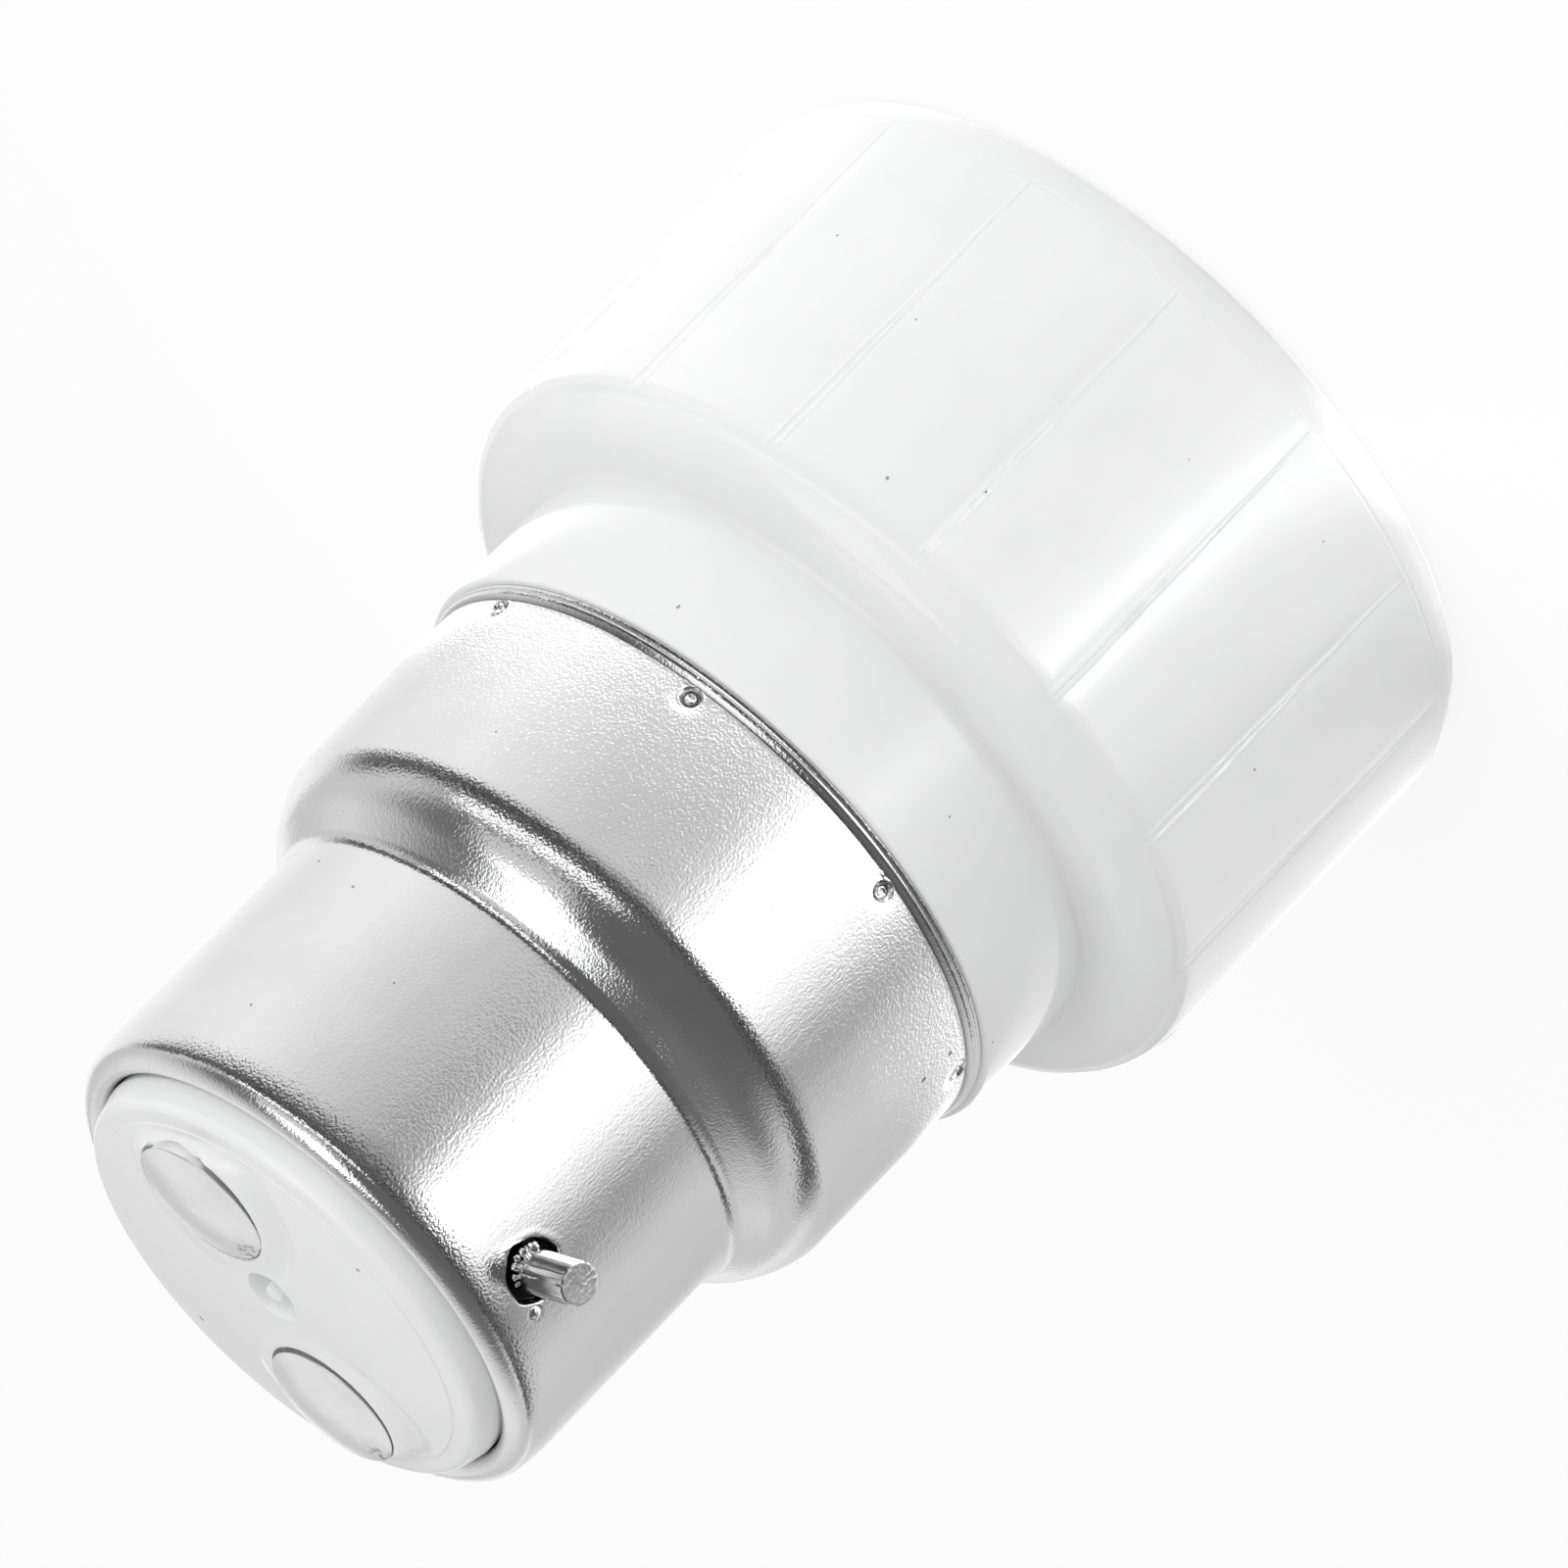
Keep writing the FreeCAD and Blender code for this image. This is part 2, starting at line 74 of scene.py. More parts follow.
def profileWire(bm, corners, closed, arcSteps=5):
    # each corner is (x, z) or (x, z, rounding) in millimetres; roundings are vertex bevels
    verts = [bm.verts.new((c[0] * mm, 0, c[1] * mm)) for c in corners]
    for first, second in zip(verts, verts[1:] + verts[:1] if closed else verts[1:]):
        bm.edges.new((first, second))
    for vert, corner in zip(verts, corners):
        if len(corner) < 3 or len(vert.link_edges) < 2:
            continue
        sides = [(edge.other_vert(vert).co - vert.co) for edge in vert.link_edges]
        half = sides[0].angle(sides[1]) / 2
        reach = corner[2] * mm / math.tan(half)
        bmesh.ops.bevel(bm, geom=[vert], offset=reach, offset_type="OFFSET", segments=arcSteps,
                        profile=0.5, affect="VERTICES", material=-1, clamp_overlap=True)


def radiusOf(place):
    return math.hypot(place.x, place.y) / mm


def moveOut(vert, radius, shift):
    # moves a vertex at this radius away from the axis; both in millimetres
    scale = (radius + shift) / radius
    vert.co.x *= scale
    vert.co.y *= scale


def splitLongEdges(bm, zLow, zHigh, step, beyond=0):
    # finer rows of the profile where a detail needs them, outside the radius beyond
    for edge in list(bm.edges):
        zs = [vert.co.z for vert in edge.verts]
        innermost = min(vert.co.x for vert in edge.verts)
        if max(zs) <= zLow * mm or min(zs) >= zHigh * mm or innermost < beyond * mm:
            continue
        cuts = int(edge.calc_length() / (step * mm))
        if cuts > 0:
            bmesh.ops.subdivide_edges(bm, edges=[edge], cuts=cuts)


def fullSpin(bm, steps):
    bmesh.ops.spin(bm, geom=bm.verts[:] + bm.edges[:], cent=(0, 0, 0), axis=upAxis, dvec=(0, 0, 0),
                   angle=2 * math.pi, steps=steps, use_merge=True)
    bmesh.ops.remove_doubles(bm, verts=bm.verts[:], dist=mergeGap)


def spinSectors(bm, count, phase, spans):
    # turns the profile through one sector in spans of (angle, steps), then repeats the sector
    pitch = 2 * math.pi / count
    start = Matrix.Rotation(phase - pitch / 2, 3, "Z")
    bmesh.ops.rotate(bm, verts=bm.verts[:], cent=(0, 0, 0), matrix=start)
    geom = bm.verts[:] + bm.edges[:]
    for angle, steps in spans:
        made = bmesh.ops.spin(bm, geom=geom, cent=(0, 0, 0), axis=upAxis, dvec=(0, 0, 0),
                              angle=angle, steps=steps, use_merge=False)
        geom = made["geom_last"]
    bmesh.ops.spin(bm, geom=bm.verts[:] + bm.edges[:] + bm.faces[:], cent=(0, 0, 0), axis=upAxis,
                   dvec=(0, 0, 0), angle=2 * math.pi - pitch, steps=count - 1, use_duplicate=True)
    bmesh.ops.remove_doubles(bm, verts=bm.verts[:], dist=mergeGap)


def refine(bm, chosen, cuts):
    # closer mesh where a small detail needs it; chosen tells which vertices are near one
    near = {vert for vert in bm.verts if chosen(vert.co)}
    edges = [edge for edge in bm.edges if edge.verts[0] in near and edge.verts[1] in near]
    bmesh.ops.subdivide_edges(bm, edges=edges, cuts=cuts, use_grid_fill=True)


def newObject(bm, name, material):
    mesh = bpy.data.meshes.new(name)
    bm.to_mesh(mesh)
    bm.free()
    mesh.materials.append(material)
    made = bpy.data.objects.new(name, mesh)
    bpy.context.scene.collection.objects.link(made)
    return made


def finishPiece(bm, name, material, replaced, sharpAngle):
    bmesh.ops.recalc_face_normals(bm, faces=bm.faces[:])
    piece = newObject(bm, name, material)
    mesh = piece.data
    for polygon in mesh.polygons:
        polygon.use_smooth = True
    mesh.set_sharp_from_angle(angle=math.radians(sharpAngle))
    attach(piece, "root")
    if replaced:
        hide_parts(*replaced)
    print(name, "made,", len(mesh.polygons), "faces")


# material helpers

def newMaterial(name):
    material = bpy.data.materials.new(name)
    material.use_nodes = True
    tree = material.node_tree
    shader = tree.nodes["Principled BSDF"]
    coords = tree.nodes.new("ShaderNodeTexCoord")
    return material, tree, shader, coords.outputs["Object"]


def mathNode(tree, operation, first, second):
    node = tree.nodes.new("ShaderNodeMath")
    node.operation = operation
    for socket, value in zip(node.inputs, (first, second)):
        if isinstance(value, (int, float)):
            socket.default_value = value
        else:
            tree.links.new(value, socket)
    return node.outputs["Value"]


def attributeNode(tree, name):
    node = tree.nodes.new("ShaderNodeAttribute")
    node.attribute_name = name
    return node.outputs["Fac"]


def noiseNode(tree, source, scale, detail=3.0, stretch=(1, 1, 1), roughness=0.5):
    mapping = tree.nodes.new("ShaderNodeMapping")
    mapping.inputs["Scale"].default_value = stretch
    tree.links.new(source, mapping.inputs["Vector"])
    texture = tree.nodes.new("ShaderNodeTexNoise")
    texture.inputs["Scale"].default_value = scale
    texture.inputs["Detail"].default_value = detail
    texture.inputs["Roughness"].default_value = roughness
    tree.links.new(mapping.outputs["Vector"], texture.inputs["Vector"])
    return texture.outputs["Fac"]


def rangeNode(tree, source, fromLow, fromHigh, toLow, toHigh):
    node = tree.nodes.new("ShaderNodeMapRange")
    node.inputs["From Min"].default_value = fromLow
    node.inputs["From Max"].default_value = fromHigh
    node.inputs["To Min"].default_value = toLow
    node.inputs["To Max"].default_value = toHigh
    tree.links.new(source, node.inputs["Value"])
    return node.outputs["Result"]


def mixColour(tree, factor, first, second):
    node = tree.nodes.new("ShaderNodeMix")
    node.data_type = "RGBA"
    tree.links.new(factor, node.inputs["Factor"])
    for name, value in (("A", first), ("B", second)):
        socket = [s for s in node.inputs if s.name == name and s.type == "RGBA"][0]
        if isinstance(value, tuple):
            socket.default_value = (*value, 1)
        else:
            tree.links.new(value, socket)
    return [s for s in node.outputs if s.type == "RGBA"][0]


def speckNode(tree, source, scale, size, share):
    # small round specks: voronoi cells, of which only a share are filled
    texture = tree.nodes.new("ShaderNodeTexVoronoi")
    texture.inputs["Scale"].default_value = scale
    tree.links.new(source, texture.inputs["Vector"])
    near = rangeNode(tree, texture.outputs["Distance"], size, size * 0.6, 0, 1)
    split = tree.nodes.new("ShaderNodeSeparateColor")
    tree.links.new(texture.outputs["Color"], split.inputs["Color"])
    chosen = mathNode(tree, "LESS_THAN", split.outputs["Red"], share)
    return mathNode(tree, "MULTIPLY", near, chosen)


def bumpNode(tree, shader, height, strength, distance, below=None):
    node = tree.nodes.new("ShaderNodeBump")
    node.inputs["Strength"].default_value = strength
    node.inputs["Distance"].default_value = distance
    tree.links.new(height, node.inputs["Height"])
    if below is not None:
        tree.links.new(below, node.inputs["Normal"])
    tree.links.new(node.outputs["Normal"], shader.inputs["Normal"])
    return node.outputs["Normal"]


mouldingLook = {
    "colour": (0.86, 0.862, 0.862),
    "cloudColour": (0.83, 0.832, 0.834),
    "speckColour": (0.3, 0.29, 0.28),
    "roughness": (0.09, 0.15),
    "cloudScale": 180,
    "speckScale": 420,
    "speckSize": 0.07,
    "speckShare": 0.05,
    "waveScale": 260,
    "waveHeight": 0.012,
    "pitScale": 2600,
    "pitHeight": 0.004,
}
plateLook = dict(mouldingLook, speckShare=0.14)


def whiteMoulding(name, look):
    material, tree, shader, place = newMaterial(name)
    clouds = noiseNode(tree, place, look["cloudScale"], 3)
    colour = mixColour(tree, rangeNode(tree, clouds, 0.35, 0.7, 0, 1), look["colour"], look["cloudColour"])
    specks = speckNode(tree, place, look["speckScale"], look["speckSize"], look["speckShare"])
    colour = mixColour(tree, specks, colour, look["speckColour"])
    tree.links.new(colour, shader.inputs["Base Color"])
    smear = noiseNode(tree, place, 500, 4)
    low, high = look["roughness"]
    tree.links.new(rangeNode(tree, smear, 0.3, 0.7, low, high), shader.inputs["Roughness"])
    shader.inputs["IOR"].default_value = 1.5
    waves = noiseNode(tree, place, look["waveScale"], 2)
    normal = bumpNode(tree, shader, waves, 0.25, look["waveHeight"] * mm)
    pits = noiseNode(tree, place, look["pitScale"], 2)
    bumpNode(tree, shader, pits, 0.08, look["pitHeight"] * mm, normal)
    return material


sleeveLook = {
    "colour": (0.93, 0.93, 0.93),
    "dullColour": (0.86, 0.86, 0.862),
    "speckColour": (0.25, 0.24, 0.23),
    # near-black painted shade for the pin pits, the crimp ring grooves and the lip fold
    "paintedShadeColour": (0.012, 0.012, 0.012),
    "roughness": (0.09, 0.14),
    "waveScale": 420,
    "waveHeight": 0.006,
    "lineScale": 5200,
    "lineStretch": 0.08,
    "lineHeight": 0.005,
    "grainScale": 10200,
    "grainStretch": 0.75,
    "grainHeight": 0.0125,
}


def nickelSheet(name, look):
    material, tree, shader, place = newMaterial(name)
    shader.inputs["Metallic"].default_value = 1
    patches = noiseNode(tree, place, 220, 4)
    colour = mixColour(tree, rangeNode(tree, patches, 0.35, 0.75, 0, 1), look["colour"], look["dullColour"])
    specks = speckNode(tree, place, 520, 0.08, 0.05)
    colour = mixColour(tree, specks, colour, look["speckColour"])
    # painted shade: the paintedDark attribute turns the colour near black in the pin pits, crimp ring
    # grooves and lip fold
    colour = mixColour(tree, attributeNode(tree, "paintedDark"), colour, look["paintedShadeColour"])
    tree.links.new(colour, shader.inputs["Base Color"])
    smear = noiseNode(tree, place, 1300, 3)
    low, high = look["roughness"]
    tree.links.new(rangeNode(tree, smear, 0.3, 0.7, low, high), shader.inputs["Roughness"])
    # drawing marks: fine pebbled grain over lines along the sleeve, over slow waves
    waves = noiseNode(tree, place, look["waveScale"], 2)
    normal = bumpNode(tree, shader, waves, 1, look["waveHeight"] * mm)
    lines = noiseNode(tree, place, look["lineScale"], 1, (1, 1, look["lineStretch"]))
    normal = bumpNode(tree, shader, lines, 1, look["lineHeight"] * mm, normal)
    grain = noiseNode(tree, place, look["grainScale"], 1, (1, 1, look["grainStretch"]))
    bumpNode(tree, shader, grain, 1, look["grainHeight"] * mm, normal)
    return material


def plainMetal(name, colour, dull, roughness, grainScale=2600, grain=0.004):
    material, tree, shader, place = newMaterial(name)
    shader.inputs["Metallic"].default_value = 1
    patches = noiseNode(tree, place, 600, 4)
    mixed = mixColour(tree, rangeNode(tree, patches, 0.35, 0.7, 0, 1), colour, dull)
    tree.links.new(mixed, shader.inputs["Base Color"])
    smear = noiseNode(tree, place, 1500, 3)
    rough = rangeNode(tree, smear, 0.3, 0.7, roughness * 0.8, roughness * 1.3)
    tree.links.new(rough, shader.inputs["Roughness"])
    bumpNode(tree, shader, noiseNode(tree, place, grainScale, 3), 0.3, grain * mm)
    return material


domeLook = {
    "colour": (0.95, 0.95, 0.95),
    "dullColour": (0.88, 0.88, 0.88),
    "patchColour": (0.45, 0.45, 0.45),
    "roughness": (0.22, 0.5),
    "waveHeight": 0.006,
    "grainHeight": 0.004,
}


def domePlate(name, look):
    # bright plated dome; the edgePatch attribute darkens and roughens the patch by its edge
    material, tree, shader, place = newMaterial(name)
    shader.inputs["Metallic"].default_value = 1
    patches = noiseNode(tree, place, 700, 4)
    colour = mixColour(tree, rangeNode(tree, patches, 0.4, 0.75, 0, 1), look["colour"], look["dullColour"])
    edgePatch = attributeNode(tree, "edgePatch")
    crumbs = rangeNode(tree, noiseNode(tree, place, 4200, 4), 0.42, 0.58, 0, 1)
    paintedDark = mathNode(tree, "MULTIPLY", edgePatch, crumbs)
    tree.links.new(mixColour(tree, paintedDark, colour, look["patchColour"]), shader.inputs["Base Color"])
    low, high = look["roughness"]
    tree.links.new(rangeNode(tree, edgePatch, 0, 1, low, high), shader.inputs["Roughness"])
    waves = bumpNode(tree, shader, noiseNode(tree, place, 900, 3), 1, look["waveHeight"] * mm)
    bumpNode(tree, shader, noiseNode(tree, place, 5200, 3), 1, look["grainHeight"] * mm, waves)
    return material


def mattSolid(name, colour, dull, roughness, grainScale, grain):
    material, tree, shader, place = newMaterial(name)
    patches = noiseNode(tree, place, 400, 4)
    mixed = mixColour(tree, rangeNode(tree, patches, 0.3, 0.7, 0, 1), colour, dull)
    tree.links.new(mixed, shader.inputs["Base Color"])
    smear = noiseNode(tree, place, 900, 3)
    rough = rangeNode(tree, smear, 0.3, 0.7, roughness * 0.85, roughness * 1.1)
    tree.links.new(rough, shader.inputs["Roughness"])
    bumpNode(tree, shader, noiseNode(tree, place, grainScale, 3), 0.3, grain * mm)
    return material


whitePlastic = whiteMoulding("whitePlastic", mouldingLook)
platePlastic = whiteMoulding("platePlastic", plateLook)
sleeveMetal = nickelSheet("sleeveMetal", sleeveLook)
pinMetal = plainMetal("pinMetal", (0.88, 0.88, 0.88), (0.7, 0.7, 0.7), 0.18, 5200, 0.004)
domeMetal = domePlate("domeMetal", domeLook)
tagBrass = plainMetal("tagBrass", (0.83, 0.72, 0.45), (0.7, 0.58, 0.33), 0.32)
solderMetal = plainMetal("solderMetal", (0.75, 0.76, 0.77), (0.6, 0.61, 0.62), 0.38, 1800, 0.02)
copperWire = plainMetal("copperWire", (0.86, 0.5, 0.34), (0.7, 0.36, 0.24), 0.35)
springBronze = plainMetal("springBronze", (0.84, 0.62, 0.36), (0.7, 0.5, 0.28), 0.28)
rivetBrass = plainMetal("rivetBrass", (0.84, 0.72, 0.42), (0.68, 0.56, 0.3), 0.3)
screwZinc = plainMetal("screwZinc", (0.78, 0.79, 0.8), (0.62, 0.63, 0.64), 0.3)
insertCeramic = mattSolid("insertCeramic", (0.8, 0.785, 0.74), (0.74, 0.725, 0.68), 0.55, 3500, 0.012)
dustGrey = mattSolid("dustGrey", (0.42, 0.41, 0.4), (0.3, 0.3, 0.3), 0.8, 9000, 0.01)
leadCover = mattSolid("leadCover", (0.82, 0.8, 0.74), (0.76, 0.74, 0.68), 0.5, 2500, 0.008)


# white moulding: drum with grooves, shoulder, neck and the tube inside the cap

bodySize = {
    "skirtRadius": 13.12,
    "neckRadius": 13.64,
    "drumHeight": 18.37,
    "drumDraft": 0.08,
    "shoulderRound": 2.0,
    "rimBevel": (0.81, 1.34),
    "mouthRadius": 14.9,
    "mouthDepth": 5.4,
    "seatRadius": 14.5,
    "seatTop": 9.0,
    "cavityRadius": 13.7,
    "roofUnder": 16.17,
    "neckBore": 10.67,
    "tubeRadius": 10.5,
    "tubeBore": 8.55,
    "tubeTop": 41.52,
    "spigotTop": 31.91,
    "spigotInset": 0.5,
    "boreStep": (1.95, 4.07),
    "bossOffset": 11.3,
    "bossRadius": 2.7,
    "grooveCount": 15,
    "groovePhase": 16.3,
    "grooveReach": 0.85,
    "grooveCore": 0.42,
    "dishDepth": 0.07,
    "ridgeHalf": 0.13,
    "ridgeRise": 0.07,
    "ridgeGap": 0.2,
    "ridgeWander": (0.05, 0.015),
    "grooveFade": (0.5, 0.4),
    "stepLine": 0.03,
    "grooveLow": 1.73,
    "grooveHigh": 16.85,
    "wallRows": 60,
}


def grooveShift(size, along, height, turn):
    # radial shift in millimetres: two fine raised lines in a shallow dish, which run together lower down
    low, high = size["grooveLow"], size["grooveHigh"]
    fadeLow, fadeHigh = size["grooveFade"]
    ends = smoothStep((height - low) / fadeLow) * smoothStep((high - height) / fadeHigh)
    slow, quick = size["ridgeWander"]
    wander = slow * noise.noise((turn, height * 0.35, 0)) + quick * noise.noise((turn, height * 2.2, 3))
    spread = smoothStep((height - low - 2) / (high - low - 4))
    apart = size["ridgeGap"] * (1 + 0.5 * math.sin(turn)) * spread
    apart *= math.sqrt(smoothStep((high - height) / 0.5))
    rough = 0.75 + 0.5 * noise.noise((turn, height * 1.4, 7))
    middle = along - wander
    ridge = max(bump(middle - apart, size["ridgeHalf"]), bump(middle + apart, size["ridgeHalf"]))
    dish = size["dishDepth"] * bump(along, size["grooveReach"])
    return (size["ridgeRise"] * ridge * rough - dish) * ends


def makeBody():
    size = bodySize
    bevelWidth, bevelHeight = size["rimBevel"]
    drum = drumRadius / mm
    neckEnd = neckTop / mm
    spigot = size["skirtRadius"] - size["spigotInset"]
    taperTop, taperLow = size["boreStep"]
    underMouth = size["mouthDepth"] - 0.1
    corners = [
        (size["mouthRadius"] + 0.4, 0),
        (drum - bevelWidth, 0, 0.6),
        (drum, bevelHeight, 1.8),
        (drum - size["drumDraft"], size["drumHeight"], size["shoulderRound"]),
        (size["neckRadius"], size["drumHeight"], 0.35),
        (size["neckRadius"], neckEnd, 0.15),
        (spigot, neckEnd),
        (spigot, size["spigotTop"], 0.4),
        (size["tubeRadius"], size["spigotTop"]),
        (size["tubeRadius"], size["tubeTop"]),
        (size["tubeBore"], size["tubeTop"]),
        (size["tubeBore"], size["spigotTop"] - taperTop),
        (size["neckBore"], size["spigotTop"] - taperLow),
        (size["neckBore"], size["roofUnder"], 0.6),
        (size["cavityRadius"], size["roofUnder"], 1.0),
        (size["cavityRadius"], size["seatTop"]),
        (size["seatRadius"], size["seatTop"]),
        (size["seatRadius"], underMouth),
        (size["mouthRadius"], underMouth),
        (size["mouthRadius"], 0.4),
    ]
    bm = bmesh.new()
    profileWire(bm, corners, True, arcSteps=7)
    outside = drum - 0.2
    wall = [edge for edge in bm.edges
            if min(vert.co.x for vert in edge.verts) > outside * mm and edge.calc_length() > 5 * mm]
    bmesh.ops.subdivide_edges(bm, edges=wall, cuts=size["wallRows"])
    splitLongEdges(bm, size["grooveLow"] - 0.15, size["grooveLow"] + 0.15, 0.04, outside)
    pitch = 2 * math.pi / size["grooveCount"]
    phase = math.radians(size["groovePhase"])
    reach = size["grooveReach"] / drum
    core = size["grooveCore"] / drum
    side = (pitch / 2 - reach, 4)
    spinSectors(bm, size["grooveCount"], phase,
                (side, (reach - core, 2), (core * 2, 22), (reach - core, 2), side))
    for vert in bm.verts:
        radius = radiusOf(vert.co)
        height = vert.co.z / mm
        if radius < drum - 1.5 or height > size["grooveHigh"] or height < size["grooveLow"] - 0.3:
            continue
        angle = math.atan2(vert.co.y, vert.co.x)
        offset = (angle - phase + pitch / 2) % pitch - pitch / 2
        shift = -size["stepLine"] * bump(height - size["grooveLow"], 0.1)
        if height > size["grooveLow"]:
            shift += grooveShift(size, offset * drum, height, round((angle - offset) / pitch) * 5.3)
        moveOut(vert, radius, shift)
        vert.co.x = max(housingLow.x, min(housingHigh.x, vert.co.x))
        vert.co.y = max(housingLow.y, min(housingHigh.y, vert.co.y))
    # two screw bosses, from the insert's seat up into the roof
    boss = size["bossRadius"] * mm
    bossTop = size["roofUnder"] + 1
    for side in (-1, 1):
        made = bmesh.ops.create_cone(bm, cap_ends=True, segments=32, radius1=boss, radius2=boss,
                                     depth=(bossTop - size["seatTop"]) * mm)
        middle = (bossTop + size["seatTop"]) / 2
        bmesh.ops.translate(bm, verts=made["verts"], vec=(0, side * size["bossOffset"] * mm, middle * mm))
    finishPiece(bm, "whiteBody", whitePlastic, ["housing"], 50)


makeBody()


# pressed metal sleeve of the cap

capSize = {
    "sheet": 0.4,
    "capRadius": 11.0,
    "skirtRadius": 13.12,
    "lipProfile": ((13.36, 0.0), (13.42, 0.06, 0.04), (13.39, 0.2, 0.03), (13.33, 0.25, 0.02),
                   (13.37, 0.32, 0.04), (13.33, 0.46, 0.06), (13.16, 0.62, 0.1)),
    "lipFold": 0.62,
    "stepLow": 33.81,
    "stepHigh": 35.71,
    "stepRound": 3.5,
    "stepFillet": 0.9,
    "rollRadius": 0.7,
    "rollInner": 9.65,
    "leanHeight": 2.1,
    "leanIn": 0.26,
    "crimpCount": 8,
    "crimpPhase": 8.3,
    "crimpHeight": 25.15,
    "crimpRing": 0.3,
    "crimpDepth": 0.2,
    "crimpButton": 0.07,
    "crimpRim": 0.05,
    "crimpCurl": 0.07,
    "crimpDent": 0.05,
    "crimpSteps": 36,
    "crimpMesh": ((1.25, 2), (0.72, 1)),
    "pitRadius": 1.28,
    "pitDepth": 0.36,
    "pitLip": 0.02,
    "pitMesh": ((2.3, 2), (1.6, 1)),
    "beadPlace": (-1.44, 0.82),
    "beadRadius": 0.21,
    "beadRise": 0.1,
}


def crimpShift(size, along, up):
    # one punch mark: ring groove round a sunk button, a curl of torn metal, the soft dent round it
    distance = math.hypot(along, up)
    around = math.atan2(up, along)
    ring = -size["crimpDepth"] * bump(distance - size["crimpRing"], 0.14)
    button = -size["crimpButton"] * smoothStep((0.19 - distance) / 0.1)
    torn = 0.5 + 0.5 * math.cos(around + 0.9)
    rim = size["crimpRim"] * bump(distance - size["crimpRing"] - 0.16, 0.09) * torn
    curl = size["crimpCurl"] * bump((up + 0.32) + 0.35 * (along - 0.25), 0.07) * bump(along - 0.45, 0.22)
    dent = -size["crimpDent"] * smoothStep(1 - distance / 0.95)
    return ring + button + rim + curl + dent


def pinShift(size, across, up):
    # the pit round a pin's root, its rounded lip, a bead of metal beside it and the dimpled sheet
    distance = math.hypot(across, up)
    around = math.atan2(up, across)
    edge = size["pitRadius"] * (1 + 0.04 * math.sin(3 * around + 0.7) + 0.03 * math.sin(7 * around))
    pit = -size["pitDepth"] * smoothStep((edge - distance) / 0.14)
    lip = size["pitLip"] * bump(distance - edge - 0.16, 0.24) * (0.5 + 0.5 * math.cos(around + 0.2))
    beadAcross, beadUp = size["beadPlace"]
    away = math.hypot(across - beadAcross, up - beadUp)
    bead = size["beadRise"] * math.sqrt(max(0.0, 1 - (away / size["beadRadius"]) ** 2))
    bead -= 0.03 * bump(away - 0.28, 0.08)
    dimple = -0.03 * bump(distance, 3.0)
    return pit + lip + bead + dimple


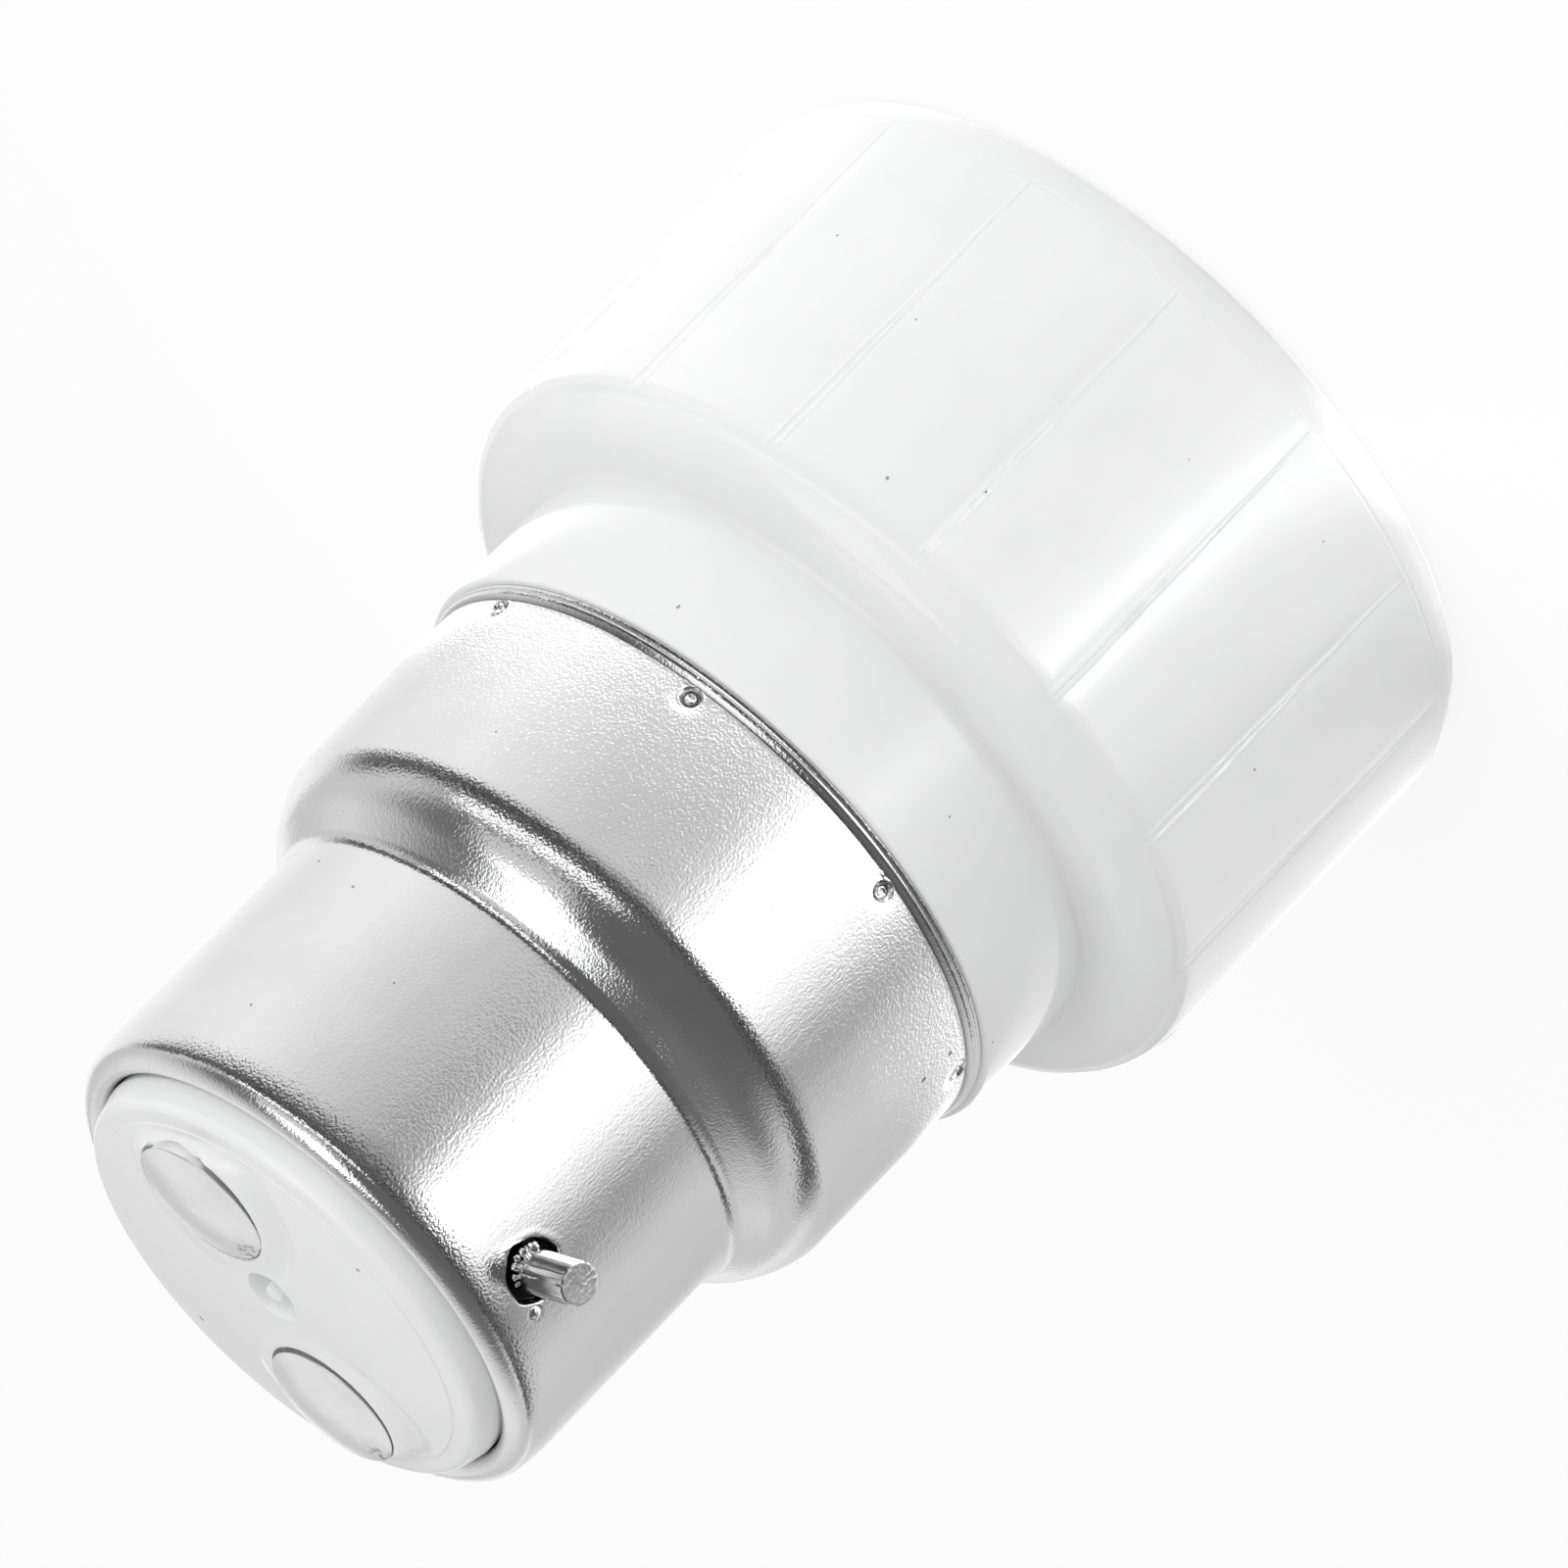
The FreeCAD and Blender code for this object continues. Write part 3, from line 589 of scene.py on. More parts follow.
def makeSleeve():
    size = capSize
    outer = size["skirtRadius"]
    sheet = size["sheet"]
    low = neckTop / mm
    top = capTop / mm
    lean = math.atan2(outer - size["capRadius"], size["stepHigh"] - size["stepLow"])
    drop = sheet * math.tan(lean / 2)
    corners = [(c[0], low + c[1], *c[2:]) for c in size["lipProfile"]]
    corners += [
        (outer, size["stepLow"], size["stepRound"]),
        (size["capRadius"], size["stepHigh"], size["stepFillet"]),
        (size["capRadius"], top, size["rollRadius"]),
        (size["rollInner"], top, 0.6),
        (size["rollInner"], top - 0.8),
        (size["rollInner"] + sheet, top - 0.8),
        (size["rollInner"] + sheet, top - sheet, 0.2),
        (size["capRadius"] - sheet, top - sheet, size["rollRadius"] - sheet),
        (size["capRadius"] - sheet, size["stepHigh"] - drop, size["stepFillet"] + sheet),
        (outer - sheet, size["stepLow"] - drop, size["stepRound"] - sheet),
        (outer - sheet, low + 0.7),
        (outer - sheet + 0.28, low),
    ]
    bm = bmesh.new()
    profileWire(bm, corners, True, arcSteps=9)
    crimpEnd = size["crimpHeight"] + 1.3
    pinLevel = pinHeight / mm
    splitLongEdges(bm, low + 0.1, crimpEnd, 0.2, outer - 0.2)
    splitLongEdges(bm, pinLevel - 3.5, pinLevel + 2.4, 0.25, size["capRadius"] - 0.2)
    splitLongEdges(bm, crimpEnd, size["stepHigh"], 1.2)
    crimpPitch = 2 * math.pi / size["crimpCount"]
    phase = math.radians(size["crimpPhase"])
    spinSectors(bm, size["crimpCount"], phase, ((crimpPitch, size["crimpSteps"]),))

    def crimpOffset(place):
        angle = math.atan2(place.y, place.x)
        along = ((angle - phase + crimpPitch / 2) % crimpPitch - crimpPitch / 2) * outer
        return along, place.z / mm - size["crimpHeight"]

    def pinOffset(place):
        angle = math.atan2(place.y, place.x if place.x > 0 else -place.x)
        return math.sin(angle) * size["capRadius"], place.z / mm - pinLevel

    def isSkirt(place):
        return radiusOf(place) > outer - 0.15

    def isBarrel(place):
        return place.z / mm > size["stepHigh"] + 2 and radiusOf(place) > size["capRadius"] - 0.1

    for reach, cuts in size["crimpMesh"]:
        refine(bm, lambda place: isSkirt(place) and place.z / mm > low + 0.6
               and math.hypot(*crimpOffset(place)) < reach, cuts)
    for reach, cuts in size["pitMesh"]:
        refine(bm, lambda place: isBarrel(place) and math.hypot(*pinOffset(place)) < reach, cuts)
    # painted shade: paintedDark is 1 in the pin pits and part way in the crimp ring grooves and the lip
    # fold, which it darkens to near black
    paintedDark = bm.verts.layers.float.new("paintedDark")
    for vert in bm.verts:
        radius = radiusOf(vert.co)
        height = vert.co.z / mm
        shift = 0.0
        vert[paintedDark] = 0.0
        if isSkirt(vert.co) and height < size["crimpHeight"] + 2:
            along, up = crimpOffset(vert.co)
            fold = 0.7 * bump(height - low - size["lipFold"], 0.07)
            vert[paintedDark] = max(0.75 * bump(math.hypot(along, up) - size["crimpRing"], 0.13), fold)
            if height < low + size["lipFold"]:
                shift = 0.035 * noise.noise(vert.co * 260) - 0.02
            shift += crimpShift(size, along, up)
        elif isBarrel(vert.co):
            across, up = pinOffset(vert.co)
            vert[paintedDark] = smoothStep((size["pitRadius"] + 0.06 - math.hypot(across, up)) / 0.1)
            if abs(across) < 4:
                shift = pinShift(size, across, up)
        # the barrel leans in softly before the roll
        lean = max(0.0, min(1.0, (height - top + size["leanHeight"]) / size["leanHeight"]))
        shift -= size["leanIn"] * lean * lean * smoothStep((radius - size["rollInner"] - 0.2) / 0.8)
        moveOut(vert, radius, shift)
    finishPiece(bm, "capSleeve", sleeveMetal, ["bayonet_shell"], 60)


makeSleeve()


# bayonet pins: sheared, creased wire with crumbs of torn plate round the root

pinSize = {
    "radius": 0.87,
    "root": 10.3,
    "wall": 11.0,
    "tip": 13.75,
    "steps": 72,
    "creases": ((12, 0.02, 9), (40, 0.06, 6), (58, 0.05, 5), (-35, 0.04, 10), (150, 0.05, 12),
                (215, 0.05, 10)),
    "flats": ((78, 19, 0.045), (49, 8, 0.01), (112, 13, 0.03)),
    "crumbs": ((28, 0.93, 0.14, 0.75), (52, 0.94, 0.19, 0.8), (72, 0.98, 0.15, 0.7), (90, 0.95, 0.19, 0.85),
               (109, 0.97, 0.15, 0.7), (124, 0.93, 0.17, 0.8), (8, 0.9, 0.1, 0.7), (80, 0.86, 0.11, 1.25)),
    "crumbRoot": 10.62,
    "crumbPile": 0.55,
}


def pinSurface(size, turn, depth):
    # radial shift of the shank at an angle in degrees from straight up; depth runs 0 to 1 toward the tip
    shift = 0.012 * noise.noise((turn * 0.05, depth * 2, 0))
    for angle, deep, half in size["creases"]:
        offset = (turn - angle + 180) % 360 - 180
        fade = 0.55 + 0.6 * noise.noise((angle, depth * 2.4, 5))
        shift -= deep * bump(offset, half) * max(0.0, fade) * 1.4
    for angle, half, deep in size["flats"]:
        offset = (turn - angle + 180) % 360 - 180
        shift -= deep * bump(offset, half)
    return shift


def makePin(name, nodeName, direction):
    size = pinSize
    radius = size["radius"]
    bm = bmesh.new()
    profile = [
        (0, size["tip"] - 0.02),
        (radius - 0.07, size["tip"], 0.03),
        (radius, size["tip"] - 0.08, 0.05),
        (radius, size["root"]),
        (0, size["root"]),
    ]
    profileWire(bm, profile, False, arcSteps=4)
    splitLongEdges(bm, size["root"] - 1, size["tip"] + 1, 0.07)
    fullSpin(bm, size["steps"])
    for vert in bm.verts:
        reach = radiusOf(vert.co)
        turn = math.degrees(math.atan2(vert.co.y, vert.co.x))  # from straight up
        length = vert.co.z / mm
        depth = (length - size["wall"]) / (size["tip"] - size["wall"])
        if reach > 0.05:
            share = min(1.0, reach / radius)
            moveOut(vert, reach, pinSurface(size, turn, depth) * share ** 4)
        if length > size["tip"] - 0.06:
            # crushed end face: rougher toward one side, always inside the tip plane
            side = smoothStep(0.5 + 0.6 * math.sin(math.radians(turn - 75)) * reach / radius)
            torn = noise.noise((vert.co.x * 3200, vert.co.y * 3200, 1)) + 0.6 * noise.noise(vert.co * 7500)
            vert.co.z -= (0.01 + 0.045 * abs(torn) * (0.3 + 0.7 * side)) * mm
    for angle, reach, grain, depth in size["crumbs"]:
        made = bmesh.ops.create_icosphere(bm, subdivisions=2, radius=grain * mm)
        turn = math.radians(angle)
        for vert in made["verts"]:
            vert.co *= 1 + 0.35 * noise.noise(vert.co * 7000 + Vector((angle, 0, 0)))
        rise = size["crumbRoot"] + depth * size["crumbPile"]
        place = Vector((math.cos(turn) * reach, math.sin(turn) * reach, rise)) * mm
        bmesh.ops.translate(bm, verts=made["verts"], vec=place)
    # from the working frame (up, across, along) to the cap: x runs outward
    frameTurn = Matrix(((0, 0, direction), (0, 1, 0), (1, 0, 0)))
    bmesh.ops.transform(bm, verts=bm.verts[:], matrix=frameTurn.to_4x4())
    bmesh.ops.translate(bm, verts=bm.verts[:], vec=(0, 0, pinHeight))
    finishPiece(bm, name, pinMetal, [nodeName], 35)


makePin("pinNear", "bayonet_pin_a", 1)
makePin("pinFar", "bayonet_pin_b", -1)


# domed end contacts

domeSize = {
    "radius": 2.85,
    "offset": 5.23,
    "shank": 1.2,
    "rimDrop": 0.46,
    "headDrop": 0.55,
    "steps": 96,
    "tilt": 2.4,
    "waveDepth": 0.012,
    "scuffs": 5,
    "scuffDepth": 0.012,
    "patchAngle": -58,
    "patchReach": 0.95,
}


def makeDome(name, nodeName, side):
    size = domeSize
    radius = size["radius"]
    nodeLow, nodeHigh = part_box(nodeName)
    top = nodeHigh.z / mm
    rim = top - size["rimDrop"]
    low = nodeLow.z / mm
    crown = (radius ** 2 + (top - rim) ** 2) / (2 * (top - rim))
    reaches = [step * radius / 14 for step in range(14)]
    profile = [(reach, top - crown + math.sqrt(crown ** 2 - reach ** 2)) for reach in reaches]
    profile += [
        (radius, rim, 0.04),
        (radius - 0.03, rim - 0.06, 0.02),
        (radius - 0.14, rim - 0.09, 0.03),
        (radius - 0.11, rim - size["headDrop"]),
        (size["shank"], rim - size["headDrop"]),
        (size["shank"], low),
        (0, low),
    ]
    bm = bmesh.new()
    profileWire(bm, profile, False)
    splitLongEdges(bm, rim, top + 0.1, 0.14)
    fullSpin(bm, size["steps"])
    dice = random.Random(side * 7 + 20)
    marks = [(dice.uniform(-1.6, 1.6), dice.uniform(-1.6, 1.6), dice.uniform(0, 3.1))
             for _ in range(size["scuffs"])]
    for vert in bm.verts:
        reach = radiusOf(vert.co)
        if vert.co.z / mm < rim - 0.02:
            continue
        wave = size["waveDepth"] * noise.noise(vert.co * 700 + Vector((side, 0, 0)))
        for x, y, turn in marks:
            dx, dy = vert.co.x / mm - x, vert.co.y / mm - y
            along = dx * math.cos(turn) + dy * math.sin(turn)
            across = -dx * math.sin(turn) + dy * math.cos(turn)
            wave -= size["scuffDepth"] * bump(along, 0.35) * bump(across, 0.1)
        dip = min(0.0, wave - size["waveDepth"]) * mm
        vert.co.z += dip * smoothStep((radius - reach) / 0.4) * smoothStep(reach / 0.3)
    # a darker, rougher patch near the rim, on the same side of both contacts
    edgePatch = bm.verts.layers.float.new("edgePatch")
    heading = math.radians(size["patchAngle"])
    toPatch = Vector((math.cos(heading), math.sin(heading), 0))
    patchPlace = toPatch * (radius - 0.25) * mm
    for vert in bm.verts:
        distance = (vert.co - patchPlace).to_2d().length / mm
        onHead = vert.co.z / mm > rim - 0.1
        vert[edgePatch] = smoothStep((size["patchReach"] - distance) / 0.7) if onHead else 0.0
    # the riveted head leans a little; its highest point stays at the node's
    head = [vert for vert in bm.verts if vert.co.z / mm > rim - 0.6]
    lean = Matrix.Rotation(-math.radians(size["tilt"]), 3, toPatch.cross(upAxis))
    bmesh.ops.rotate(bm, verts=head, cent=(0, 0, rim * mm), matrix=lean)
    lift = top * mm - max(vert.co.z for vert in head)
    bmesh.ops.translate(bm, verts=head, vec=(0, 0, lift))
    bmesh.ops.translate(bm, verts=bm.verts[:], vec=(0, side * size["offset"] * mm, 0))
    finishPiece(bm, name, domeMetal, [nodeName], 45)


for name, nodeName in (("domePlus", "contact_a"), ("domeMinus", "contact_b")):
    makeDome(name, nodeName, 1 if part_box(nodeName)[0].y > 0 else -1)


# end plate: gently domed field with a nicked ridge, rounded wall, contact wells, dishes and the gate pit

plateSize = {
    "crownTop": 0.5,
    "ridgeRadius": 8.4,
    "ridgeBelow": 1.17,
    "shoulder": 9.3,
    "shoulderBelow": 1.27,
    "outer": 9.6,
    "wallBelow": 2.4,
    "flange": 0.35,
    "spigot": 8.5,
    "steps": 180,
    "wellRadius": 2.93,
    "wellDepth": 0.5,
    "wellShift": 0.04,
    "shiftAngle": 33.7,
    "padLevel": 0.49,
    "padShare": 0.8,
    "dishReach": 4.4,
    "dishDepth": 0.26,
    "dishHeading": (0.75, 1.25),
    "gateRadius": 1.18,
    "gateDepth": 0.75,
    "gatePlace": (0.73, 0.61),
    "nubRadius": 0.5,
    "nubShare": 0.85,
    "nicks": 18,
    "nickWidth": (0.06, 0.22),
    "nickDepth": (0.02, 0.05),
    "grainDepth": 0.01,
}


def sideways(size):
    # the direction in which the wells sit a little off the contacts
    turn = math.radians(size["shiftAngle"])
    return Vector((-math.sin(turn), math.cos(turn)))


def plateLevel(size, top, x, y, nicks):
    # height of the field in millimetres
    reach = math.hypot(x, y)
    fall = size["ridgeBelow"] - size["crownTop"]
    level = top - size["crownTop"] - fall * min(1.0, reach / size["ridgeRadius"]) ** 2
    right = sideways(size)
    near = Vector((right.y, -right.x))
    dishMiddle, dishSpread = size["dishHeading"]
    for side in (-1, 1):
        place = Vector((x, y - side * domeSize["offset"]))
        distance = place.length
        pad = smoothStep((4.2 - distance) / 1.2) * smoothStep((size["ridgeRadius"] - 0.2 - reach) / 0.5)
        level += (top - size["padLevel"] - level) * pad * size["padShare"]
        across, along = place.dot(right), place.dot(near)
        heading = math.atan2(along, -across)
        # a dish that falls away from the contact on its lower left, with a soft outer bank
        bowl = smoothStep((distance - 2.8) / 1.2) * smoothStep((size["dishReach"] - distance) / 0.5)
        level -= size["dishDepth"] * bowl * bump(heading - dishMiddle, dishSpread)
        wellDistance = (place - right * size["wellShift"]).length
        inside = smoothStep((size["ridgeRadius"] - 0.3 - reach) / 1.1)
        level -= size["wellDepth"] * smoothStep((size["wellRadius"] - wellDistance) / 0.07) * inside
    gateX, gateY = size["gatePlace"]
    gate = math.hypot(x - gateX, y - gateY)
    pit = smoothStep((size["gateRadius"] - gate) / 0.3)
    ragged = size["nubRadius"] * (1 + 0.2 * noise.noise((x * 2, y * 2, 0)))
    nub = size["nubShare"] * smoothStep((ragged - gate) / 0.14)
    level -= size["gateDepth"] * pit * (1 - nub)
    for angle, width, depth in nicks:
        along = ((math.atan2(y, x) - angle + math.pi) % (2 * math.pi) - math.pi) * reach
        level -= depth * bump(along, width) * bump(reach - size["ridgeRadius"] + 0.06, 0.15)
    return level + 0.015 * bump(reach - size["ridgeRadius"] + 0.05, 0.12)


def makePlate():
    size = plateSize
    top = contactTop / mm
    under = plateUnder / mm
    ridge = size["ridgeRadius"]
    flangeUnder = top - size["wallBelow"] - size["flange"]
    profile = [
        (0, top - size["crownTop"]),
        (ridge, top - size["ridgeBelow"]),
        (ridge + 0.05, top - size["ridgeBelow"] - 0.045, 0.02),
        (size["shoulder"], top - size["shoulderBelow"], 0.45),
        (size["outer"], top - size["wallBelow"], 0.1),
        (size["outer"], flangeUnder),
        (size["spigot"], flangeUnder),
        (size["spigot"], under),
        (0, under),
    ]
    bm = bmesh.new()
    profileWire(bm, profile, False, arcSteps=9)
    splitLongEdges(bm, top - size["wallBelow"], top + 1, 0.16)
    fullSpin(bm, size["steps"])
    gateX, gateY = size["gatePlace"]
    shift = sideways(size) * size["wellShift"]

    def onTop(place):
        return place.z / mm > top - size["wallBelow"] + 0.3 and radiusOf(place) < ridge - 0.02

    def wellDistance(place):
        side = 1 if place.y > 0 else -1
        return math.hypot(place.x / mm - shift.x, place.y / mm - side * domeSize["offset"] - shift.y)

    def gateDistance(place):
        return math.hypot(place.x / mm - gateX, place.y / mm - gateY)

    for reach, cuts in ((0.3, 1), (0.14, 1)):
        refine(bm, lambda place: onTop(place) and (abs(wellDistance(place) - size["wellRadius"]) < reach
                                                   or gateDistance(place) < 1.3), cuts)
    dice = random.Random(11)
    nicks = [(dice.uniform(-math.pi, math.pi), dice.uniform(*size["nickWidth"]),
              dice.uniform(*size["nickDepth"])) for _ in range(size["nicks"])]
    for vert in bm.verts:
        x, y = vert.co.x / mm, vert.co.y / mm
        reach = math.hypot(x, y)
        onRidge = abs(reach - ridge) < 0.25 and vert.co.z / mm > top - size["shoulderBelow"] - 0.1
        if (onTop(vert.co) or onRidge) and reach < ridge + 0.01:
            vert.co.z = plateLevel(size, top, x, y, nicks) * mm
        if vert.co.z / mm > top - size["wallBelow"] and reach > ridge - 0.1:
            vert.co.z += size["grainDepth"] * noise.noise(vert.co * 500) * mm
    finishPiece(bm, "endPlate", platePlastic, ["end_plate"], 35)


makePlate()


# dust and stray specks that the surfaces carry

dustSize = {
    # azimuth, height, radius
    "onSleeve": ((81, 43.97, 11.0), (60, 40.4, 11.0), (84, 37.7, 11.0), (100, 36.9, 11.0),
                 (-8, 45.1, 11.0), (75, 30.5, 13.12), (52, 28.3, 13.12), (20, 29.0, 13.12),
                 (95, 27.2, 13.12), (-60, 33.0, 13.12)),
    "onBody": ((-33, 23.7, 13.64), (10, 21.4, 13.64), (65, 22.6, 13.64), (40, 13.1, 17.33),
               (62, 9.2, 17.35), (25, 6.4, 17.36), (-12, 11.3, 17.34), (80, 7.5, 17.36),
               (5, 4.1, 17.37), (50, 15.2, 17.33)),
    "grain": (0.03, 0.07),
}


def makeDust(name, places):
    bm = bmesh.new()
    dice = random.Random(len(name))
    for azimuth, height, radius in places:
        grain = dice.uniform(*dustSize["grain"])
        made = bmesh.ops.create_icosphere(bm, subdivisions=2, radius=grain * mm)
        for vert in made["verts"]:
            vert.co *= 1 + 0.5 * noise.noise(vert.co * 16000 + Vector((azimuth, 0, 0)))
        bmesh.ops.scale(bm, verts=made["verts"], vec=(0.5, dice.uniform(0.7, 1.6), dice.uniform(0.7, 1.6)))
        turn = Matrix.Rotation(math.radians(azimuth), 4, "Z")
        place = turn @ Matrix.Translation((radius * mm, 0, height * mm))
        bmesh.ops.transform(bm, verts=made["verts"], matrix=place)
    finishPiece(bm, name, dustGrey, [], 60)


makeDust("sleeveDust", dustSize["onSleeve"])
makeDust("bodyDust", dustSize["onBody"])


# finishes of the pieces that keep their CAD shape

nodeFinish = {
    "socket_insert": insertCeramic,
    "insert_screws": screwZinc,
    "clip_rivets": rivetBrass,
}
for side in "ab":
    nodeFinish["solder_tag_" + side] = tagBrass
    nodeFinish["tag_solder_" + side] = solderMetal
    nodeFinish["clip_solder_" + side] = solderMetal
    nodeFinish["lead_core_" + side] = copperWire
    nodeFinish["lead_sleeve_" + side] = leadCover
    nodeFinish["spring_clip_" + side] = springBronze
for nodeName, material in nodeFinish.items():
    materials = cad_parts[nodeName].data.materials
    materials.clear()
    materials.append(material)
print("finishes on", len(nodeFinish), "CAD nodes")


# floor, light and camera

stageSet = {
    "floorHalf": 1.5,
    "floorBelow": 0.00002,
    "floorGlow": 0.85,
    "cardRadius": 1.35,
    "cardLift": 0.00005,
    "nearCard": 0.0675,
    "nearEdge": 0.0015,
    "nearBoost": 2.1,
    "middleFade": (0.11, 0.124),
    "farFade": (0.2, 0.36),
    "cameraAzimuth": 33.715,
    "cameraElevation": 22.739,
    "cameraRoll": 224.2,
    "cameraPlace": (0.46326, 0.30881, 0.25318),
    "lens": 368.64,
    "worldLevel": 0.7,
    "besideLevel": 0.75,
    "horizonLevel": 0.06,
}


def lightPathNode(tree, name):
    return tree.nodes.new("ShaderNodeLightPath").outputs[name]


def mixShader(tree, factor, first, second):
    mix = tree.nodes.new("ShaderNodeMixShader")
    tree.links.new(factor, mix.inputs["Fac"])
    tree.links.new(first, mix.inputs[1])
    tree.links.new(second, mix.inputs[2])
    return mix.outputs["Shader"]


def towardCamera(tree, source):
    # turns a direction so that its x points from the object to the camera's azimuth
    turn = tree.nodes.new("ShaderNodeMapping")
    turn.inputs["Rotation"].default_value = (0, 0, math.radians(-stageSet["cameraAzimuth"]))
    tree.links.new(source, turn.inputs["Vector"])
    return turn.outputs["Vector"]


def makeFloor():
    bm = bmesh.new()
    bmesh.ops.create_grid(bm, x_segments=1, y_segments=1, size=stageSet["floorHalf"])
    bmesh.ops.translate(bm, verts=bm.verts[:], vec=(0, 0, -stageSet["floorBelow"]))
    material = bpy.data.materials.new("floorPaper")
    material.use_nodes = True
    tree = material.node_tree
    shader = tree.nodes["Principled BSDF"]
    shader.inputs["Base Color"].default_value = (0.93, 0.93, 0.93, 1)
    shader.inputs["Roughness"].default_value = 0.9
    shader.inputs["Specular IOR Level"].default_value = 0.1
    glow = tree.nodes.new("ShaderNodeEmission")
    glow.inputs["Color"].default_value = (1, 1, 1, 1)
    share = mathNode(tree, "MULTIPLY", lightPathNode(tree, "Is Camera Ray"), stageSet["floorGlow"])
    seen = mixShader(tree, share, shader.outputs["BSDF"], glow.outputs["Emission"])
    tree.links.new(seen, tree.nodes["Material Output"].inputs["Surface"])
    newObject(bm, "floor", material)


# brightness that reflections see on the card, by direction from the camera's azimuth in degrees
nearStops = (
    (-180, 1.0), (-145, 0.56), (-100, 0.64), (-82, 0.54), (-72, 0.39), (-64, 0.4), (-50, 0.92),
    (-38, 1.2), (-32, 2.2), (-29, 2.9), (-22, 2.9), (-19, 2.0), (-12, 1.0), (-3, 0.66), (6, 0.58),
    (34, 0.62), (80, 0.93), (130, 0.82), (165, 1.0), (180, 1.0),
)
middleStops = (
    (-180, 1.0), (-145, 0.6), (-100, 0.64), (-86, 0.5), (-76, 0.31), (-64, 0.33), (-52, 0.85),
    (-38, 1.2), (-32, 2.2), (-20, 2.2), (-12, 1.0), (-4, 0.36), (8, 0.32), (20, 0.48), (40, 0.62),
    (80, 0.93), (130, 0.82), (165, 1.0), (180, 1.0),
)
farStops = (
    (-180, 1.0), (-135, 0.8), (-112, 0.12), (-80, 0.08), (90, 0.08), (118, 0.12), (140, 0.9), (180, 1.0),
)
# brightness of the world: from behind the object (0) to before it (1), and of its horizon by height
worldStops = (
    (0.0, 1.0), (0.15, 1.0), (0.25, 0.8), (0.36, 0.55), (0.45, 0.26), (0.5, 0.2), (0.8, 0.14),
)
horizonStops = ((0.38, 0.0), (0.44, 1.0), (0.56, 1.0), (0.62, 0.0))


def rampNode(tree, source, places, peak=1):
    # a brightness ramp; places are (position from 0 to 1, level)
    ramp = tree.nodes.new("ShaderNodeValToRGB")
    stops = ramp.color_ramp.elements
    while len(stops) < len(places):
        stops.new(0.5)
    for stop, (position, level) in zip(stops, places):
        stop.position = position
    for stop, (position, level) in zip(stops, places):
        stop.color = (level / peak, level / peak, level / peak, 1)
    tree.links.new(source, ramp.inputs["Fac"])
    return ramp.outputs["Color"]


def mixValue(tree, factor, first, second):
    # first + (second - first) * factor
    part = mathNode(tree, "MULTIPLY", factor, mathNode(tree, "SUBTRACT", second, first))
    return mathNode(tree, "ADD", first, part)


def makeReflectorCard():
    # a graded card on the floor round the object, seen by reflections only
    bm = bmesh.new()
    bmesh.ops.create_circle(bm, cap_ends=True, segments=64, radius=stageSet["cardRadius"])
    bmesh.ops.translate(bm, verts=bm.verts[:], vec=(0, 0, stageSet["cardLift"]))
    material = bpy.data.materials.new("gradedCard")
    material.use_nodes = True
    tree = material.node_tree
    tree.nodes.remove(tree.nodes["Principled BSDF"])
    place = tree.nodes.new("ShaderNodeTexCoord").outputs["Object"]
    gradient = tree.nodes.new("ShaderNodeTexGradient")
    gradient.gradient_type = "RADIAL"
    tree.links.new(towardCamera(tree, place), gradient.inputs["Vector"])
    peak = max(level for _, level in nearStops)
    near, middle, far = (
        rampNode(tree, gradient.outputs["Fac"], [((angle + 180) / 360, level) for angle, level in stops],
                 peak) for stops in (nearStops, middleStops, farStops))
    length = tree.nodes.new("ShaderNodeVectorMath")
    length.operation = "LENGTH"
    tree.links.new(place, length.inputs[0])
    reach = length.outputs["Value"]
    boost = rangeNode(tree, reach, stageSet["nearCard"] - stageSet["nearEdge"],
                      stageSet["nearCard"] + stageSet["nearEdge"], stageSet["nearBoost"], 1)
    toMiddle = rangeNode(tree, reach, *stageSet["middleFade"], 0, 1)
    toFar = rangeNode(tree, reach, *stageSet["farFade"], 0, 1)
    level = mixValue(tree, toMiddle, mathNode(tree, "MULTIPLY", near, boost), middle)
    level = mixValue(tree, toFar, level, far)
    glow = tree.nodes.new("ShaderNodeEmission")
    tree.links.new(mathNode(tree, "MULTIPLY", level, peak), glow.inputs["Strength"])
    tree.links.new(glow.outputs["Emission"], tree.nodes["Material Output"].inputs["Surface"])
    card = newObject(bm, "reflectorCard", material)
    card.visible_camera = False
    card.visible_diffuse = False
    card.visible_shadow = False
    card.visible_transmission = False


def directionOf(turn, rise):
    return Vector((math.cos(turn) * math.cos(rise), math.sin(turn) * math.cos(rise), math.sin(rise)))


# azimuth from the camera's, elevation, distance, width and height, power, whether metal mirrors it
lampTable = {
    "softBox": (48, 66, 0.5, (0.26, 0.34), 0.31, True),
    "fillLamp": (46, 38, 0.55, (0.36, 0.2), 0.11, True),
    "stripLamp": (42, 18, 0.5, (0.62, 0.075), 0.17, True),
    "frontLamp": (20, 10, 0.7, (0.4, 0.4), 0.55, False),
    "rightLamp": (80, 20, 0.5, (0.35, 0.35), 0.22, False),
}


def makeLamp(name, azimuth, elevation, distance, size, power, mirrored):
    # a soft lamp that faces a point 30 mm above the floor
    data = bpy.data.lights.new(name, "AREA")
    data.shape = "RECTANGLE"
    data.size, data.size_y = size
    data.energy = power
    lamp = bpy.data.objects.new(name, data)
    turn = math.radians(stageSet["cameraAzimuth"] + azimuth)
    back = directionOf(turn, math.radians(elevation))
    lamp.location = back * distance + Vector((0, 0, 0.03))
    lamp.rotation_mode = "QUATERNION"
    lamp.rotation_quaternion = back.to_track_quat("Z", "Y")
    lamp.visible_glossy = mirrored
    bpy.context.scene.collection.objects.link(lamp)


